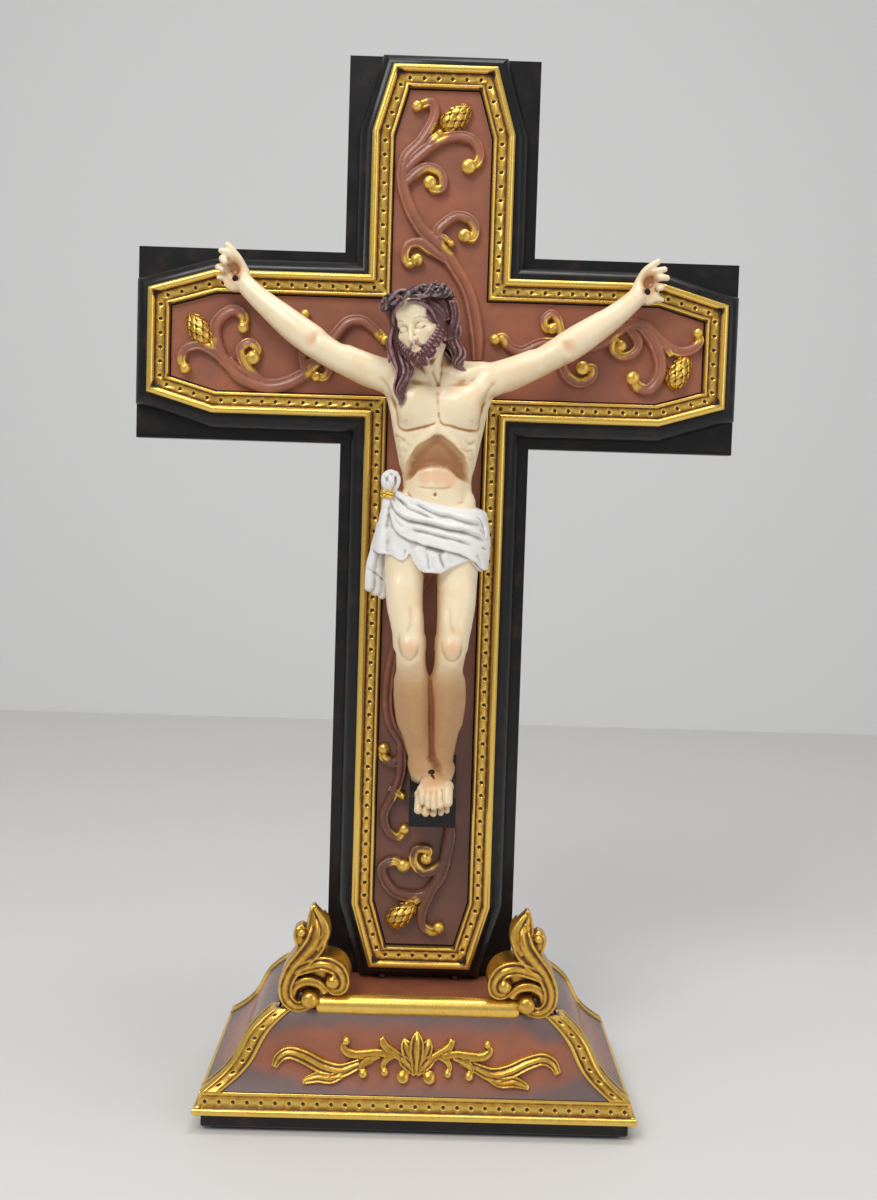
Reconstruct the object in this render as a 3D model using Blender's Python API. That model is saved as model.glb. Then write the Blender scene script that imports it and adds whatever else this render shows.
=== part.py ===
# Standing crucifix with a painted corpus on a bevelled cross, carried by a moulded plinth.
# Metres, +Z up. The front looks along -Y, and the origin is the middle of the plinth's underside.
import math

import bmesh
import bpy
from mathutils import Euler, Matrix, Vector

MM = 0.001
GAP = 0.3 * MM                      # left between any two pieces that touch
CARVED_GAP = 0.45 * MM              # the same between two faceted, sculpted pieces

# Cross
TOTAL_HEIGHT = 500 * MM
ARM_SPAN = 288 * MM
ARM_CENTRE_Z = 362 * MM
BOARD_HALF_WIDTH = 45.5 * MM
BOARD_FRONT_Y = 4.0 * MM
BOARD_THICK = 8.0 * MM
BOARD_RIM = 1.5 * MM
BOARD_RIM_DROP = 0.6 * MM
BEVEL_WIDTH = 7.0 * MM              # from the gilt moulding out to the foot of the bevel
BODY_THICK = 8.7 * MM
BODY_SHELF = 0.9 * MM
POCKET_DEPTH = 2.8 * MM
PANEL_THICK = 1.9 * MM
GILT_HALF_WIDTH = 33.5 * MM
GILT_WIDTH = 10.3 * MM
GILT_HEIGHT = 4.8 * MM
END_HALF_WIDTH = 24.5 * MM
TAPER_LENGTH = 31 * MM
VINE_HEIGHT = 3.9 * MM
BUD_LENGTH = 16.0 * MM
BUD_WIDTH = 8.4 * MM

# Plinth
PLINTH_HALF_X = 101.5 * MM
PLINTH_HALF_Y = 56.0 * MM
PLINTH_TOP_HALF_X = 60.0 * MM
PLINTH_TOP_HALF_Y = 37.5 * MM
PLINTH_TOP_Z = 56.0 * MM
FELT_THICK = 1.4 * MM
FOOT_HEIGHT = 8.3 * MM
FOOT_INSET = 4.0 * MM
RAIL_HEIGHT = 10.4 * MM
RAIL_DEPTH = 7.0 * MM
SKIN_THICK = 1.7 * MM               # panels on the sloping faces
CORNER_WIDTH = 8.0 * MM
CORNER_PROUD = 1.1 * MM
TOP_PLATE_THICK = 2.2 * MM
OGEE_SWELL = 0.08
BAR_RADIUS = 4.9 * MM
BAR_HALF_LENGTH = 45.0 * MM
VOLUTE_DEPTH = 18.0 * MM
VOLUTE_EYE_X = 50.3 * MM
VOLUTE_WIRE = 2.7 * MM
VOLUTE_HEIGHT = 49.5 * MM           # from the bottom of its scroll to the leaf's tip
ORNAMENT_WIRE = 1.25 * MM
ORNAMENT_HALF_SPAN = 66.0 * MM

# Fixings
SCREW_SHANK = 3.8 * MM
SCREW_HEAD = 8.0 * MM
SCREW_HEAD_HEIGHT = 2.6 * MM
SCREW_X = 18.0 * MM
SCREW_BITE = 13.0 * MM              # how far the shank runs up into the cross
NAIL_SHANK = 1.5 * MM
NAIL_HEAD = 3.4 * MM
NAIL_HEAD_HEIGHT = 1.0 * MM
NAIL_BITE = 2.4 * MM
PIN_RADIUS = 1.6 * MM

# Corpus, measured from the arm centre and the panel's face
CORPUS_HEIGHT = 240.0 * MM
FLESH_BACK = 5.6 * MM               # the back's clearance above the panel
HAND_X = 94.5 * MM
HAND_DEPTH = 3.2 * MM
SHOULDER_X = 19.0 * MM
FOOTREST_WIDTH = 22.0 * MM
FOOTREST_REACH = 23.5 * MM
FOOTREST_HEIGHT = 30.0 * MM
FOOTREST_FACE = 14.0 * MM
FOOTREST_DROP = 224.5 * MM          # from the arm centre down to its lower edge

# Planes and places that follow from the sizes above
BOARD_BACK_Y = BOARD_FRONT_Y + BOARD_THICK
BODY_BACK_Y = BOARD_FRONT_Y - GAP
BODY_FRONT_Y = BODY_BACK_Y - BODY_THICK
POCKET_Y = BODY_FRONT_Y + POCKET_DEPTH
PANEL_BACK_Y = POCKET_Y - GAP
PANEL_Y = PANEL_BACK_Y - PANEL_THICK
GILT_BACK_Y = BODY_FRONT_Y - GAP
GILT_FRONT_Y = GILT_BACK_Y - GILT_HEIGHT
VINE_BACK_Y = PANEL_Y - GAP
CROSS_FOOT_Z = PLINTH_TOP_Z + GAP
GILT_END_X = ARM_SPAN / 2 - BEVEL_WIDTH
GILT_TOP_Z = TOTAL_HEIGHT - BEVEL_WIDTH
GILT_FOOT_Z = CROSS_FOOT_Z + BEVEL_WIDTH
RAIL_Z = FOOT_HEIGHT + GAP
SLOPE_Z = RAIL_Z + RAIL_HEIGHT
EYE_Z = PLINTH_TOP_Z + 2.0 * MM
BAR_Y = -PLINTH_TOP_HALF_Y
BAR_Z = PLINTH_TOP_Z - 0.8 * MM
VOLUTE_Y = BAR_Y + 2.0 * MM
CORPUS_Y = PANEL_Y - FLESH_BACK
VINE_STEP = GILT_HALF_WIDTH / 33.5   # unit of the points that draw the vines
VOLUTE_STEP = VOLUTE_HEIGHT / 49.5   # the same for the brackets
ORNAMENT_STEP = ORNAMENT_HALF_SPAN / 66
FLESH = CORPUS_HEIGHT / 240          # unit of the corpus and its cloth, hair and crown
HAND_Z = ARM_CENTRE_Z + GILT_HALF_WIDTH - GILT_WIDTH * 0.55
HAND_Y = GILT_FRONT_Y - GAP - HAND_DEPTH

COLOURS = {
    "black": ((0.012, 0.010, 0.010), 0.32, 0.0),
    "gilt": ((0.62, 0.38, 0.06), 0.34, 0.85),
    "umber": ((0.26, 0.095, 0.055), 0.42, 0.0),
    "flesh": ((0.83, 0.58, 0.38), 0.46, 0.0),
    "hair": ((0.075, 0.022, 0.020), 0.5, 0.0),
    "thorn": ((0.030, 0.018, 0.014), 0.6, 0.0),
    "linen": ((0.82, 0.80, 0.76), 0.6, 0.0),
    "steel": ((0.30, 0.29, 0.28), 0.4, 1.0),
    "felt": ((0.02, 0.02, 0.022), 0.95, 0.0),
}


def clear_scene():
    for obj in list(bpy.data.objects):
        bpy.data.objects.remove(obj, do_unlink=True)


def make_materials():
    made = {}
    for name, (colour, roughness, metallic) in COLOURS.items():
        mat = bpy.data.materials.new(name)
        mat.use_nodes = True
        shader = mat.node_tree.nodes["Principled BSDF"]
        shader.inputs["Base Color"].default_value = (*colour, 1.0)
        shader.inputs["Roughness"].default_value = roughness
        shader.inputs["Metallic"].default_value = metallic
        made[name] = mat
    return made


# Building blocks

def add_object(name, verts, faces, material=None, smooth_angle=None):
    mesh = bpy.data.meshes.new(name)
    mesh.from_pydata([tuple(v) for v in verts], [], faces)
    bm = bmesh.new()
    bm.from_mesh(mesh)
    bmesh.ops.recalc_face_normals(bm, faces=bm.faces)
    bm.to_mesh(mesh)
    bm.free()
    obj = bpy.data.objects.new(name, mesh)
    bpy.context.scene.collection.objects.link(obj)
    if material:
        mesh.materials.append(MATERIALS[material])
    if smooth_angle:
        mesh.shade_smooth()
        mesh.set_sharp_from_angle(angle=math.radians(smooth_angle))
    return obj


def bridge(rings, closed_ends=True):
    """Vertices and faces of a solid whose cross-sections are rings of equal length."""
    count = len(rings[0])
    verts = [v for ring in rings for v in ring]
    faces = []
    for r in range(len(rings) - 1):
        for i in range(count):
            j = (i + 1) % count
            faces.append((r * count + i, r * count + j, (r + 1) * count + j, (r + 1) * count + i))
    if closed_ends:
        faces.append(tuple(range(count))[::-1])
        last = (len(rings) - 1) * count
        faces.append(tuple(last + i for i in range(count)))
    return verts, faces


def as_cutter(obj):
    obj.hide_render = True
    obj.display_type = "WIRE"
    return obj


def cut(obj, cutter):
    mod = obj.modifiers.new("cut " + cutter.name, "BOOLEAN")
    mod.operation = "DIFFERENCE"
    mod.solver = "EXACT"
    mod.object = cutter
    return obj


def swollen_copy(obj, gap, name):
    """A cutter that is the finished shape of obj grown by gap."""
    copy = obj.copy()
    copy.name = name
    bpy.context.scene.collection.objects.link(copy)
    for mod in list(copy.modifiers):
        if mod.type == "BOOLEAN":
            copy.modifiers.remove(mod)
    grow = copy.modifiers.new("grow", "DISPLACE")
    grow.strength = gap
    grow.mid_level = 0.0
    return as_cutter(copy)


def box(name, low, high, material=None):
    (x0, y0, z0), (x1, y1, z1) = low, high
    ring0 = [(x0, y0, z0), (x1, y0, z0), (x1, y1, z0), (x0, y1, z0)]
    ring1 = [(x, y, z1) for x, y, _ in ring0]
    return add_object(name, *bridge([ring0, ring1]), material)


def turned(name, profile, start, end, sides=16, material=None):
    """A round solid about the line start-end; profile holds (distance along it, radius)."""
    start, end = Vector(start), Vector(end)
    axis = (end - start).normalized()
    side = axis.orthogonal().normalized()
    across = axis.cross(side)
    rings = []
    for along, radius in profile:
        centre = start + axis * along
        rings.append([centre + (side * math.cos(a) + across * math.sin(a)) * radius
                      for a in (2 * math.pi * k / sides for k in range(sides))])
    return add_object(name, *bridge(rings), material, 40)


def smooth_path(points, steps):
    """Catmull-Rom curve through points of any dimension."""
    pts = [Vector(p) for p in points]
    first = pts[0] * 2 - pts[1]
    last = pts[-1] * 2 - pts[-2]
    pts = [first] + pts + [last]
    path = []
    for i in range(1, len(pts) - 2):
        a, b, c, d = pts[i - 1:i + 3]
        for k in range(steps):
            t = k / steps
            path.append(0.5 * ((2 * b) + (c - a) * t + (2 * a - 5 * b + 4 * c - d) * t ** 2
                               + (3 * b - a - 3 * c + d) * t ** 3))
    path.append(pts[-2])
    return path


def limb(stations, sides=10, steps=2):
    """Closed loft through stations (x, y, z, half width, half depth); depth lies along Y."""
    path = smooth_path([Vector(s) for s in stations], steps)
    rings = []
    for i, p in enumerate(path):
        here = Vector(p[:3])
        ahead = Vector(path[min(i + 1, len(path) - 1)][:3])
        behind = Vector(path[max(i - 1, 0)][:3])
        axis = (ahead - behind).normalized()
        depth = Vector((0, 1, 0))
        depth = (depth - axis * depth.dot(axis)).normalized()
        wide = axis.cross(depth)
        rings.append([here + wide * p[3] * math.cos(a) + depth * p[4] * math.sin(a)
                      for a in (2 * math.pi * k / sides for k in range(sides))])
    return bridge(rings)


def blob(centre, half, turn=(0, 0, 0), rings=6, sides=10):
    """Ellipsoid as vertices and faces."""
    spin = Euler([math.radians(a) for a in turn]).to_matrix()
    loops = []
    for r in range(1, rings):
        lat = math.pi * r / rings
        loops.append([Vector(centre) + spin @ Vector((half[0] * math.sin(lat) * math.cos(a),
                                                      half[1] * math.sin(lat) * math.sin(a),
                                                      half[2] * math.cos(lat)))
                      for a in (2 * math.pi * k / sides for k in range(sides))])
    return bridge(loops)


def fused(name, solids, voxel, keep, material):
    """Overlapping closed solids melted into one body, thinned to a share of its faces."""
    verts, faces = [], []
    for part_verts, part_faces in solids:
        base = len(verts)
        verts += part_verts
        faces += [tuple(base + i for i in face) for face in part_faces]
    obj = add_object(name, verts, faces, material, 60)
    melt = obj.modifiers.new("melt", "REMESH")
    melt.mode = "VOXEL"
    melt.voxel_size = voxel
    thin = obj.modifiers.new("thin", "DECIMATE")
    thin.ratio = keep
    return obj


# Outline of the cross

def coffin_cross():
    """The gilt moulding's outer edge, anticlockwise from the upper right inner corner."""
    w, e, s = GILT_HALF_WIDTH, END_HALF_WIDTH, TAPER_LENGTH
    c, t, f, x = ARM_CENTRE_Z, GILT_TOP_Z, GILT_FOOT_Z, GILT_END_X
    return [
        (w, c + w), (w, t - s), (e, t), (-e, t), (-w, t - s), (-w, c + w),
        (s - x, c + w), (-x, c + e), (-x, c - e), (s - x, c - w), (-w, c - w),
        (-w, f + s), (-e, f), (e, f), (w, f + s), (w, c - w),
        (x - s, c - w), (x, c - e), (x, c + e), (x - s, c + w),
    ]


def latin_cross():
    w, c = BOARD_HALF_WIDTH, ARM_CENTRE_Z
    t, f, x = TOTAL_HEIGHT, CROSS_FOOT_Z, ARM_SPAN / 2
    return [(w, c + w), (w, t), (-w, t), (-w, c + w), (-x, c + w), (-x, c - w),
            (-w, c - w), (-w, f), (w, f), (w, c - w), (x, c - w), (x, c + w)]


def inset(outline, distance):
    """Move every side of a closed outline inwards (outwards when negative), with mitred corners."""
    result = []
    count = len(outline)
    for i in range(count):
        before, here, after = (Vector(outline[k % count]) for k in (i - 1, i, i + 1))
        n1 = Vector((before.y - here.y, here.x - before.x)).normalized()
        n2 = Vector((here.y - after.y, after.x - here.x)).normalized()
        result.append(here + (n1 + n2) * (distance / (1 + n1.dot(n2))))
    return result


def at_depth(outline, y):
    return [Vector((p[0], y, p[1])) for p in outline]


# Cross pieces

def backing_board():
    edge = latin_cross()
    low = BOARD_FRONT_Y + BOARD_RIM_DROP
    steps = [(0, BOARD_BACK_Y), (0, low), (BOARD_RIM, low), (BOARD_RIM, BOARD_FRONT_Y)]
    return add_object("backing_board", *bridge([at_depth(inset(edge, d), y) for d, y in steps]), "black")


def cross_body():
    edge = coffin_cross()
    rings = []
    bevel_steps = 4
    for k in range(bevel_steps + 1):
        angle = math.pi / 2 * k / bevel_steps
        out = BODY_SHELF + (BEVEL_WIDTH - BODY_SHELF) * math.cos(angle)
        rings.append(at_depth(inset(edge, -out), BODY_BACK_Y - BODY_THICK * math.sin(angle)))
    pocket = inset(edge, GILT_WIDTH + GAP)
    rings += [at_depth(pocket, BODY_FRONT_Y), at_depth(pocket, POCKET_Y)]
    return add_object("cross_body", *bridge(rings), "black", 35)


def cross_panel():
    edge = inset(coffin_cross(), GILT_WIDTH + 2 * GAP)
    return add_object("cross_panel", *bridge([at_depth(edge, PANEL_BACK_Y), at_depth(edge, PANEL_Y)]), "umber")


def gilt_profile():
    """(distance in from the outer edge, height above the shelf): bead, cove, punched band, bead."""
    w, h = GILT_WIDTH, GILT_HEIGHT
    return [(0, 0), (0, 0.72 * h), (0.07 * w, 0.93 * h), (0.15 * w, h), (0.25 * w, 0.88 * h),
            (0.31 * w, 0.62 * h), (0.80 * w, 0.44 * h), (0.88 * w, 0.58 * h), (0.97 * w, 0.48 * h), (w, 0)]


def gilt_mouldings():
    """One mitred length of moulding around each arm."""
    edge = coffin_cross()
    mitre_gap = 0.75 * GAP
    loops = [(inset(edge, d), GILT_BACK_Y - h) for d, h in gilt_profile()]
    pieces = {}
    for name, first in (("top", 0), ("left", 5), ("bottom", 10), ("right", 15)):
        rings = []
        for i in range(first, first + 6):
            ring = [Vector((loop[i % 20].x, y, loop[i % 20].y)) for loop, y in loops]
            if i in (first, first + 5):
                step = 1 if i == first else -1
                along = Vector(edge[(i + step) % 20]) - Vector(edge[i % 20])
                along = along.normalized() * mitre_gap
                ring = [p + Vector((along.x, 0, along.y)) for p in ring]
            rings.append(ring)
        pieces[name] = add_object("gilt_moulding_" + name, *bridge(rings), "gilt", 50)
    return pieces


def vine(name, strands, buds, anchor, flip, behind):
    """Half-round scrollwork on the panel. Strands hold (points in steps from the anchor, width, end width)."""
    solids = []
    for points, wide, tip in strands:
        path = smooth_path([(x, z) for x, z in points], 3)
        last = len(path) - 1
        stations = []
        for i, p in enumerate(path):
            share = i / last
            half = (wide + (tip - wide) * share) * VINE_STEP / 2
            x = anchor[0] + flip * p.x * VINE_STEP
            z = anchor[1] + p.y * VINE_STEP
            stations.append((x, VINE_BACK_Y - 0.3 * VINE_HEIGHT, z, half, 0.7 * VINE_HEIGHT))
        solids.append(limb(stations, sides=8, steps=1))
        tip_centre = stations[-1][:3]
        tip_half = tip * VINE_STEP * 0.72
        solids.append(blob(tip_centre, (tip_half, 0.75 * VINE_HEIGHT, tip_half), rings=5, sides=8))
    obj = fused(name, solids, 0.8 * MM, 0.038, "umber")
    for x, z, lean in buds:
        centre = (anchor[0] + flip * x * VINE_STEP, VINE_BACK_Y - 0.15 * VINE_HEIGHT, anchor[1] + z * VINE_STEP)
        half = (BUD_WIDTH / 2, VINE_HEIGHT, BUD_LENGTH / 2)
        bud_name = name.replace("vine", "bud")
        bud = add_object(bud_name, *blob(centre, half, (0, flip * lean, 0), 8, 10), "gilt", 60)
        cut(obj, swollen_copy(bud, GAP, bud_name + "_room"))
        cut(bud, behind)
    cut(obj, behind)
    return obj


def vines():
    """Scrollwork for the four arms; points are chosen by hand from each arm's outer end."""
    behind = as_cutter(box("panel_room", (-ARM_SPAN, VINE_BACK_Y, 0),
                           (ARM_SPAN, VINE_BACK_Y + 30 * MM, TOTAL_HEIGHT)))
    top = (0, GILT_TOP_Z)
    vine("vine_top", [
        ([(19, -136), (18, -122), (14, -105), (7, -93), (0, -84), (-9, -76), (-16, -64), (-19, -53),
          (-18, -43), (-11, -35), (-5, -24), (-6, -17), (-13, -19)], 4.6, 2.4),
        ([(-19, -50), (-13, -43), (-6, -37), (1, -33), (8, -32), (14, -34), (17, -39), (16, -44), (12, -46)],
         3.2, 3.8),
        ([(-19, -56), (-13, -50), (-8, -47), (-3, -48), (0, -51), (0, -56), (-4, -57), (-6, -54)], 2.8, 2.8),
        ([(1, -84), (-2, -77), (2, -72), (7, -69), (13, -70), (16, -74), (15, -79), (11, -78)], 3.2, 3.2),
        ([(3, -90), (-5, -85), (-10, -82), (-15, -83), (-17, -88), (-15, -92), (-11, -90)], 3.0, 2.8),
        ([(-8, -38), (-5, -34), (-2, -31)], 2.4, 2.0),
    ], [(5.5, -23.5, 52)], top, 1, behind)
    left = (-GILT_END_X, ARM_CENTRE_Z)
    vine("vine_left", [
        ([(38, -8), (42, -14), (49, -18), (58, -20), (67, -18), (75, -13), (82, -5), (88, 4), (94, 11),
          (101, 12), (107, 8), (112, 3)], 4.6, 2.6),
        ([(41, -12), (36, -8), (30, -4), (24, -2), (18, -4), (16, -9), (18, -13)], 3.8, 2.4),
        ([(40, -13), (35, -7), (32, 1), (32, 8), (36, 13), (41, 15), (45, 12), (45, 7)], 4.0, 3.2),
        ([(56, -19), (49, -14), (45, -8), (44, -3), (48, 0), (52, -3), (50, -7)], 3.2, 2.6),
        ([(73, -14), (77, -9), (82, -7), (86, -11), (84, -15), (80, -15)], 2.6, 2.4),
        ([(74, -13), (73, -2), (73, 8), (74, 14)], 2.6, 2.2),
        ([(31, -4), (30, -1)], 2.2, 2.0),
    ], [(24, 5.5, -34)], left, 1, behind)
    right = (GILT_END_X, ARM_CENTRE_Z)
    vine("vine_right", [
        ([(45, 15), (51, 12), (58, 6), (67, 3), (77, 4), (88, 4), (97, 0), (103, 2), (106, 6), (110, 5)],
         3.8, 2.6),
        ([(48, 14), (41, 14), (36, 11), (29, 5), (22, 2), (16, 3.5), (13, 7), (14, 11)], 3.8, 2.6),
        ([(46, 15), (40, 13), (34, 5), (31, -4), (32, -11), (36, -16), (41, -15), (44, -11)], 4.4, 3.2),
        ([(47, 12), (43, 8), (42, 4), (45, 0), (50, -1), (54, 2), (53, 6), (50, 4)], 3.0, 2.6),
        ([(74, 4), (78, -3), (76, -10), (70, -14), (64, -12), (63, -7), (68, -7)], 3.4, 2.8),
        ([(77, 4), (79, 10), (81, 16), (84, 18), (87, 15), (86, 11), (83, 11)], 2.8, 2.4),
        ([(30, 6), (28, 3), (26, 0)], 2.4, 2.0),
    ], [(22, -7.5, -28)], right, -1, behind)
    foot = (0, GILT_FOOT_Z)
    beside_legs = vine("vine_beside_legs", [
        ([(1, 196), (-8, 180), (-14, 163), (-18, 146), (-19, 130), (-17, 119), (-12, 111), (-11, 105),
          (-15, 100), (-20, 103), (-20, 107)], 3.6, 3.0),
        ([(-12, 110), (-11, 101), (-12, 92), (-15, 84), (-19, 75), (-17, 67), (-12, 64), (-9, 68)], 3.4, 2.6),
        ([(-17, 88), (-13, 86), (-10, 84)], 2.8, 2.2),
    ], [], foot, 1, behind)
    below_feet = vine("vine_bottom", [
        ([(13, 71), (13, 65), (11, 52), (8, 43), (2, 36), (-6, 35), (-13, 37), (-18, 43), (-19, 49), (-14, 52),
          (-9, 50)], 4.4, 3.0),
        ([(13, 63), (12, 55), (7, 49), (1, 47), (-4, 52), (-3, 58), (3, 58), (2, 54)], 3.0, 2.6),
        ([(10, 48), (5, 38), (1, 28), (1, 21), (6, 18), (9, 20)], 3.4, 3.0),
        ([(2, 36), (-1, 34), (-3, 32)], 2.4, 2.0),
    ], [(-9, 26, 50)], foot, 1, behind)
    return beside_legs, below_feet


# Plinth pieces

def slope_share(z):
    """0 at the foot of the sloping faces and 1 at their top, along an ogee."""
    t = (z - SLOPE_Z) / (PLINTH_TOP_Z - SLOPE_Z)
    return t + OGEE_SWELL * math.sin(2 * math.pi * t)


def half_x(z):
    low = PLINTH_HALF_X - FOOT_INSET
    return low + (PLINTH_TOP_HALF_X - low) * slope_share(z)


def half_y(z):
    low = PLINTH_HALF_Y - FOOT_INSET * 0.6
    return low + (PLINTH_TOP_HALF_Y - low) * slope_share(z)


def rectangle(hx, hy, z):
    return [Vector((hx, -hy, z)), Vector((hx, hy, z)), Vector((-hx, hy, z)), Vector((-hx, -hy, z))]


def levels(z0, z1, count):
    return [z0 + (z1 - z0) * k / count for k in range(count + 1)]


def frustum(name, low, high, back_off, material=None, steps=9):
    """The plinth's sloping shape between two heights, back_off inside its visible faces."""
    rings = [rectangle(half_x(z) - back_off, half_y(z) - back_off, z) for z in levels(low, high, steps)]
    return add_object(name, *bridge(rings), material, 25)


def plinth_core():
    """Solid core: upright behind the rails, then the ogee slope up to the top plate."""
    back_off = SKIN_THICK + GAP
    hx, hy = PLINTH_HALF_X - RAIL_DEPTH - GAP, PLINTH_HALF_Y - RAIL_DEPTH - GAP
    top = PLINTH_TOP_Z - TOP_PLATE_THICK - GAP
    rings = [rectangle(hx, hy, RAIL_Z), rectangle(hx, hy, SLOPE_Z)]
    rings += [rectangle(min(hx, half_x(z) - back_off), min(hy, half_y(z) - back_off), z)
              for z in levels(SLOPE_Z + 1 * MM, top, 8)]
    return add_object("plinth_core", *bridge(rings), "black")


def plinth_foot():
    hx, hy = PLINTH_HALF_X - FOOT_INSET, PLINTH_HALF_Y - FOOT_INSET
    low = FELT_THICK + GAP
    rings = [rectangle(hx - 1 * MM, hy - 1 * MM, low), rectangle(hx, hy, low + 1 * MM),
             rectangle(hx, hy, FOOT_HEIGHT)]
    return add_object("plinth_foot", *bridge(rings), "black")


def felt_pad():
    hx, hy = PLINTH_HALF_X - 2 * FOOT_INSET, PLINTH_HALF_Y - 2 * FOOT_INSET
    return add_object("felt_pad", *bridge([rectangle(hx, hy, 0), rectangle(hx, hy, FELT_THICK)]), "felt")


def top_plate():
    low = PLINTH_TOP_Z - TOP_PLATE_THICK
    upper = rectangle(PLINTH_TOP_HALF_X, PLINTH_TOP_HALF_Y, PLINTH_TOP_Z)
    return add_object("plinth_top", *bridge([rectangle(half_x(low), half_y(low), low), upper]), "umber")


def base_rails():
    """Four mitred lengths of gilt moulding round the foot of the plinth."""
    d, h = RAIL_DEPTH, RAIL_HEIGHT
    profile = [(d, 0), (0.10 * d, 0), (0, 0.10 * h), (0.12 * d, 0.24 * h), (0.22 * d, 0.28 * h),
               (0.42 * d, 0.84 * h), (0.40 * d, 0.92 * h), (0.52 * d, h), (d, h)]
    gap = 0.75 * GAP
    corners = rectangle(PLINTH_HALF_X, PLINTH_HALF_Y, RAIL_Z)
    for i, name in enumerate(("right", "rear", "left", "front")):
        a, b = corners[i], corners[(i + 1) % 4]
        along = (b - a).normalized()
        inward = Vector((-along.y, along.x, 0))
        rings = []
        for end, push in ((a, 1), (b, -1)):
            rings.append([end + inward * p[0] + along * push * (p[0] + gap) + Vector((0, 0, p[1]))
                          for p in profile])
        add_object("gilt_rail_" + name, *bridge(rings), "gilt", 40)


def corner_mouldings():
    """Gilt angle moulding up each hip of the sloping faces."""
    hips = (("front_left", -1, -1), ("front_right", 1, -1), ("rear_left", -1, 1), ("rear_right", 1, 1))
    for name, sx, sy in hips:
        rings = []
        for z in levels(SLOPE_Z + GAP, PLINTH_TOP_Z - TOP_PLATE_THICK - GAP, 8):
            x_out, y_out = half_x(z) + CORNER_PROUD, half_y(z) + CORNER_PROUD
            x_in, y_in = half_x(z) - SKIN_THICK, half_y(z) - SKIN_THICK
            x_leg, y_leg = x_out - CORNER_WIDTH, y_out - CORNER_WIDTH
            ring = [(x_out, y_out), (x_out, y_leg), (x_in, y_leg), (x_in, y_in), (x_leg, y_in), (x_leg, y_out)]
            rings.append([Vector((sx * x, sy * y, z)) for x, y in ring])
        add_object("gilt_corner_" + name, *bridge(rings), "gilt")


def face_panels():
    """A thin curved panel between the corner mouldings of each sloping face."""
    low, high = SLOPE_Z + GAP, PLINTH_TOP_Z - TOP_PLATE_THICK - GAP
    clear = CORNER_WIDTH - CORNER_PROUD + GAP
    panels = {}
    for name, turn in (("front", 0), ("right", 90), ("rear", 180), ("left", 270)):
        across, out = (half_x, half_y) if turn % 180 == 0 else (half_y, half_x)
        rings = []
        for z in levels(low, high, 8):
            w, face = across(z) - clear, out(z)
            back = face - SKIN_THICK
            corners = ((-w, -face), (w, -face), (w, -back), (-w, -back))
            rings.append([Vector((x, y, z)) for x, y in corners])
        spin = Matrix.Rotation(math.radians(turn), 3, "Z")
        turned_rings = [[spin @ p for p in ring] for ring in rings]
        panels[name] = add_object("plinth_panel_" + name, *bridge(turned_rings), "umber", 30)
    return panels


def roll_bar():
    r, end = BAR_RADIUS, BAR_HALF_LENGTH
    chamfer = 0.18 * r
    profile = [(0, r - chamfer), (chamfer, r), (2 * end - chamfer, r), (2 * end, r - chamfer)]
    return turned("roll_bar", profile, (-end, BAR_Y, BAR_Z), (end, BAR_Y, BAR_Z), 18, "gilt")


def strand(points, half_width, half_depth, y):
    """One tapering strand in the XZ plane; points hold (x, z, share of the full size)."""
    return limb([(x, y, z, half_width * s, half_depth * (0.5 + 0.5 * s)) for x, z, s in points], 8, 2)


def volutes(bar_room):
    """A leaf-topped C-scroll bracket at each end of the bar, points in steps from its eye."""
    room = as_cutter(frustum("plinth_room", SLOPE_Z, PLINTH_TOP_Z + GAP, -GAP - CORNER_PROUD))
    outer = [(2, 44, 0.25), (3, 38, 0.9), (-1, 30, 1.3), (-3, 23, 1.2), (-7, 16, 1.0), (-12, 8, 1.0),
             (-13, 1, 1.0), (-10, -4, 1.0), (-4, -5.5, 1.0), (2, -4, 1.0), (4, 0, 0.8)]
    inner = [(-11, 10, 0.8), (-6, 15, 1.0), (1, 18, 1.0), (9, 18, 1.0), (15, 14, 1.0), (18, 8, 1.0),
             (16, 2, 1.0), (10, 0, 0.9), (7, 4, 0.8), (9, 8, 0.7)]
    leaf = [(-5, 23, 0.9), (-10, 29, 0.9), (-11, 35, 0.6), (-8, 36, 0.3)]
    leaf_right = [(-2, 25, 0.9), (5, 29, 1.0), (8, 35, 0.8), (5, 40, 0.4)]
    for name, side in (("left", 1), ("right", -1)):
        eye_x = -side * VOLUTE_EYE_X
        solids = []
        for points in (outer, inner, leaf, leaf_right):
            placed = [(eye_x + side * x * VOLUTE_STEP, EYE_Z + z * VOLUTE_STEP, s) for x, z, s in points]
            deep = VOLUTE_DEPTH / 2 if points in (outer, inner) else VOLUTE_DEPTH / 4
            solids.append(strand(placed, VOLUTE_WIRE, deep, VOLUTE_Y))
        web = []
        for x, z, w in ((-8, 3, 3), (-4, 6, 8), (4, 9, 9), (12, 8, 8), (15, 8, 3)):
            web.append((eye_x + side * x * VOLUTE_STEP, VOLUTE_Y + 2 * MM, EYE_Z + z * VOLUTE_STEP,
                        w * VOLUTE_STEP, VOLUTE_DEPTH / 4))
        solids.append(limb(web, 10, 1))
        obj = fused("volute_" + name, solids, 1.0 * MM, 0.034, "gilt")
        cut(obj, room)
        cut(obj, bar_room)


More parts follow.
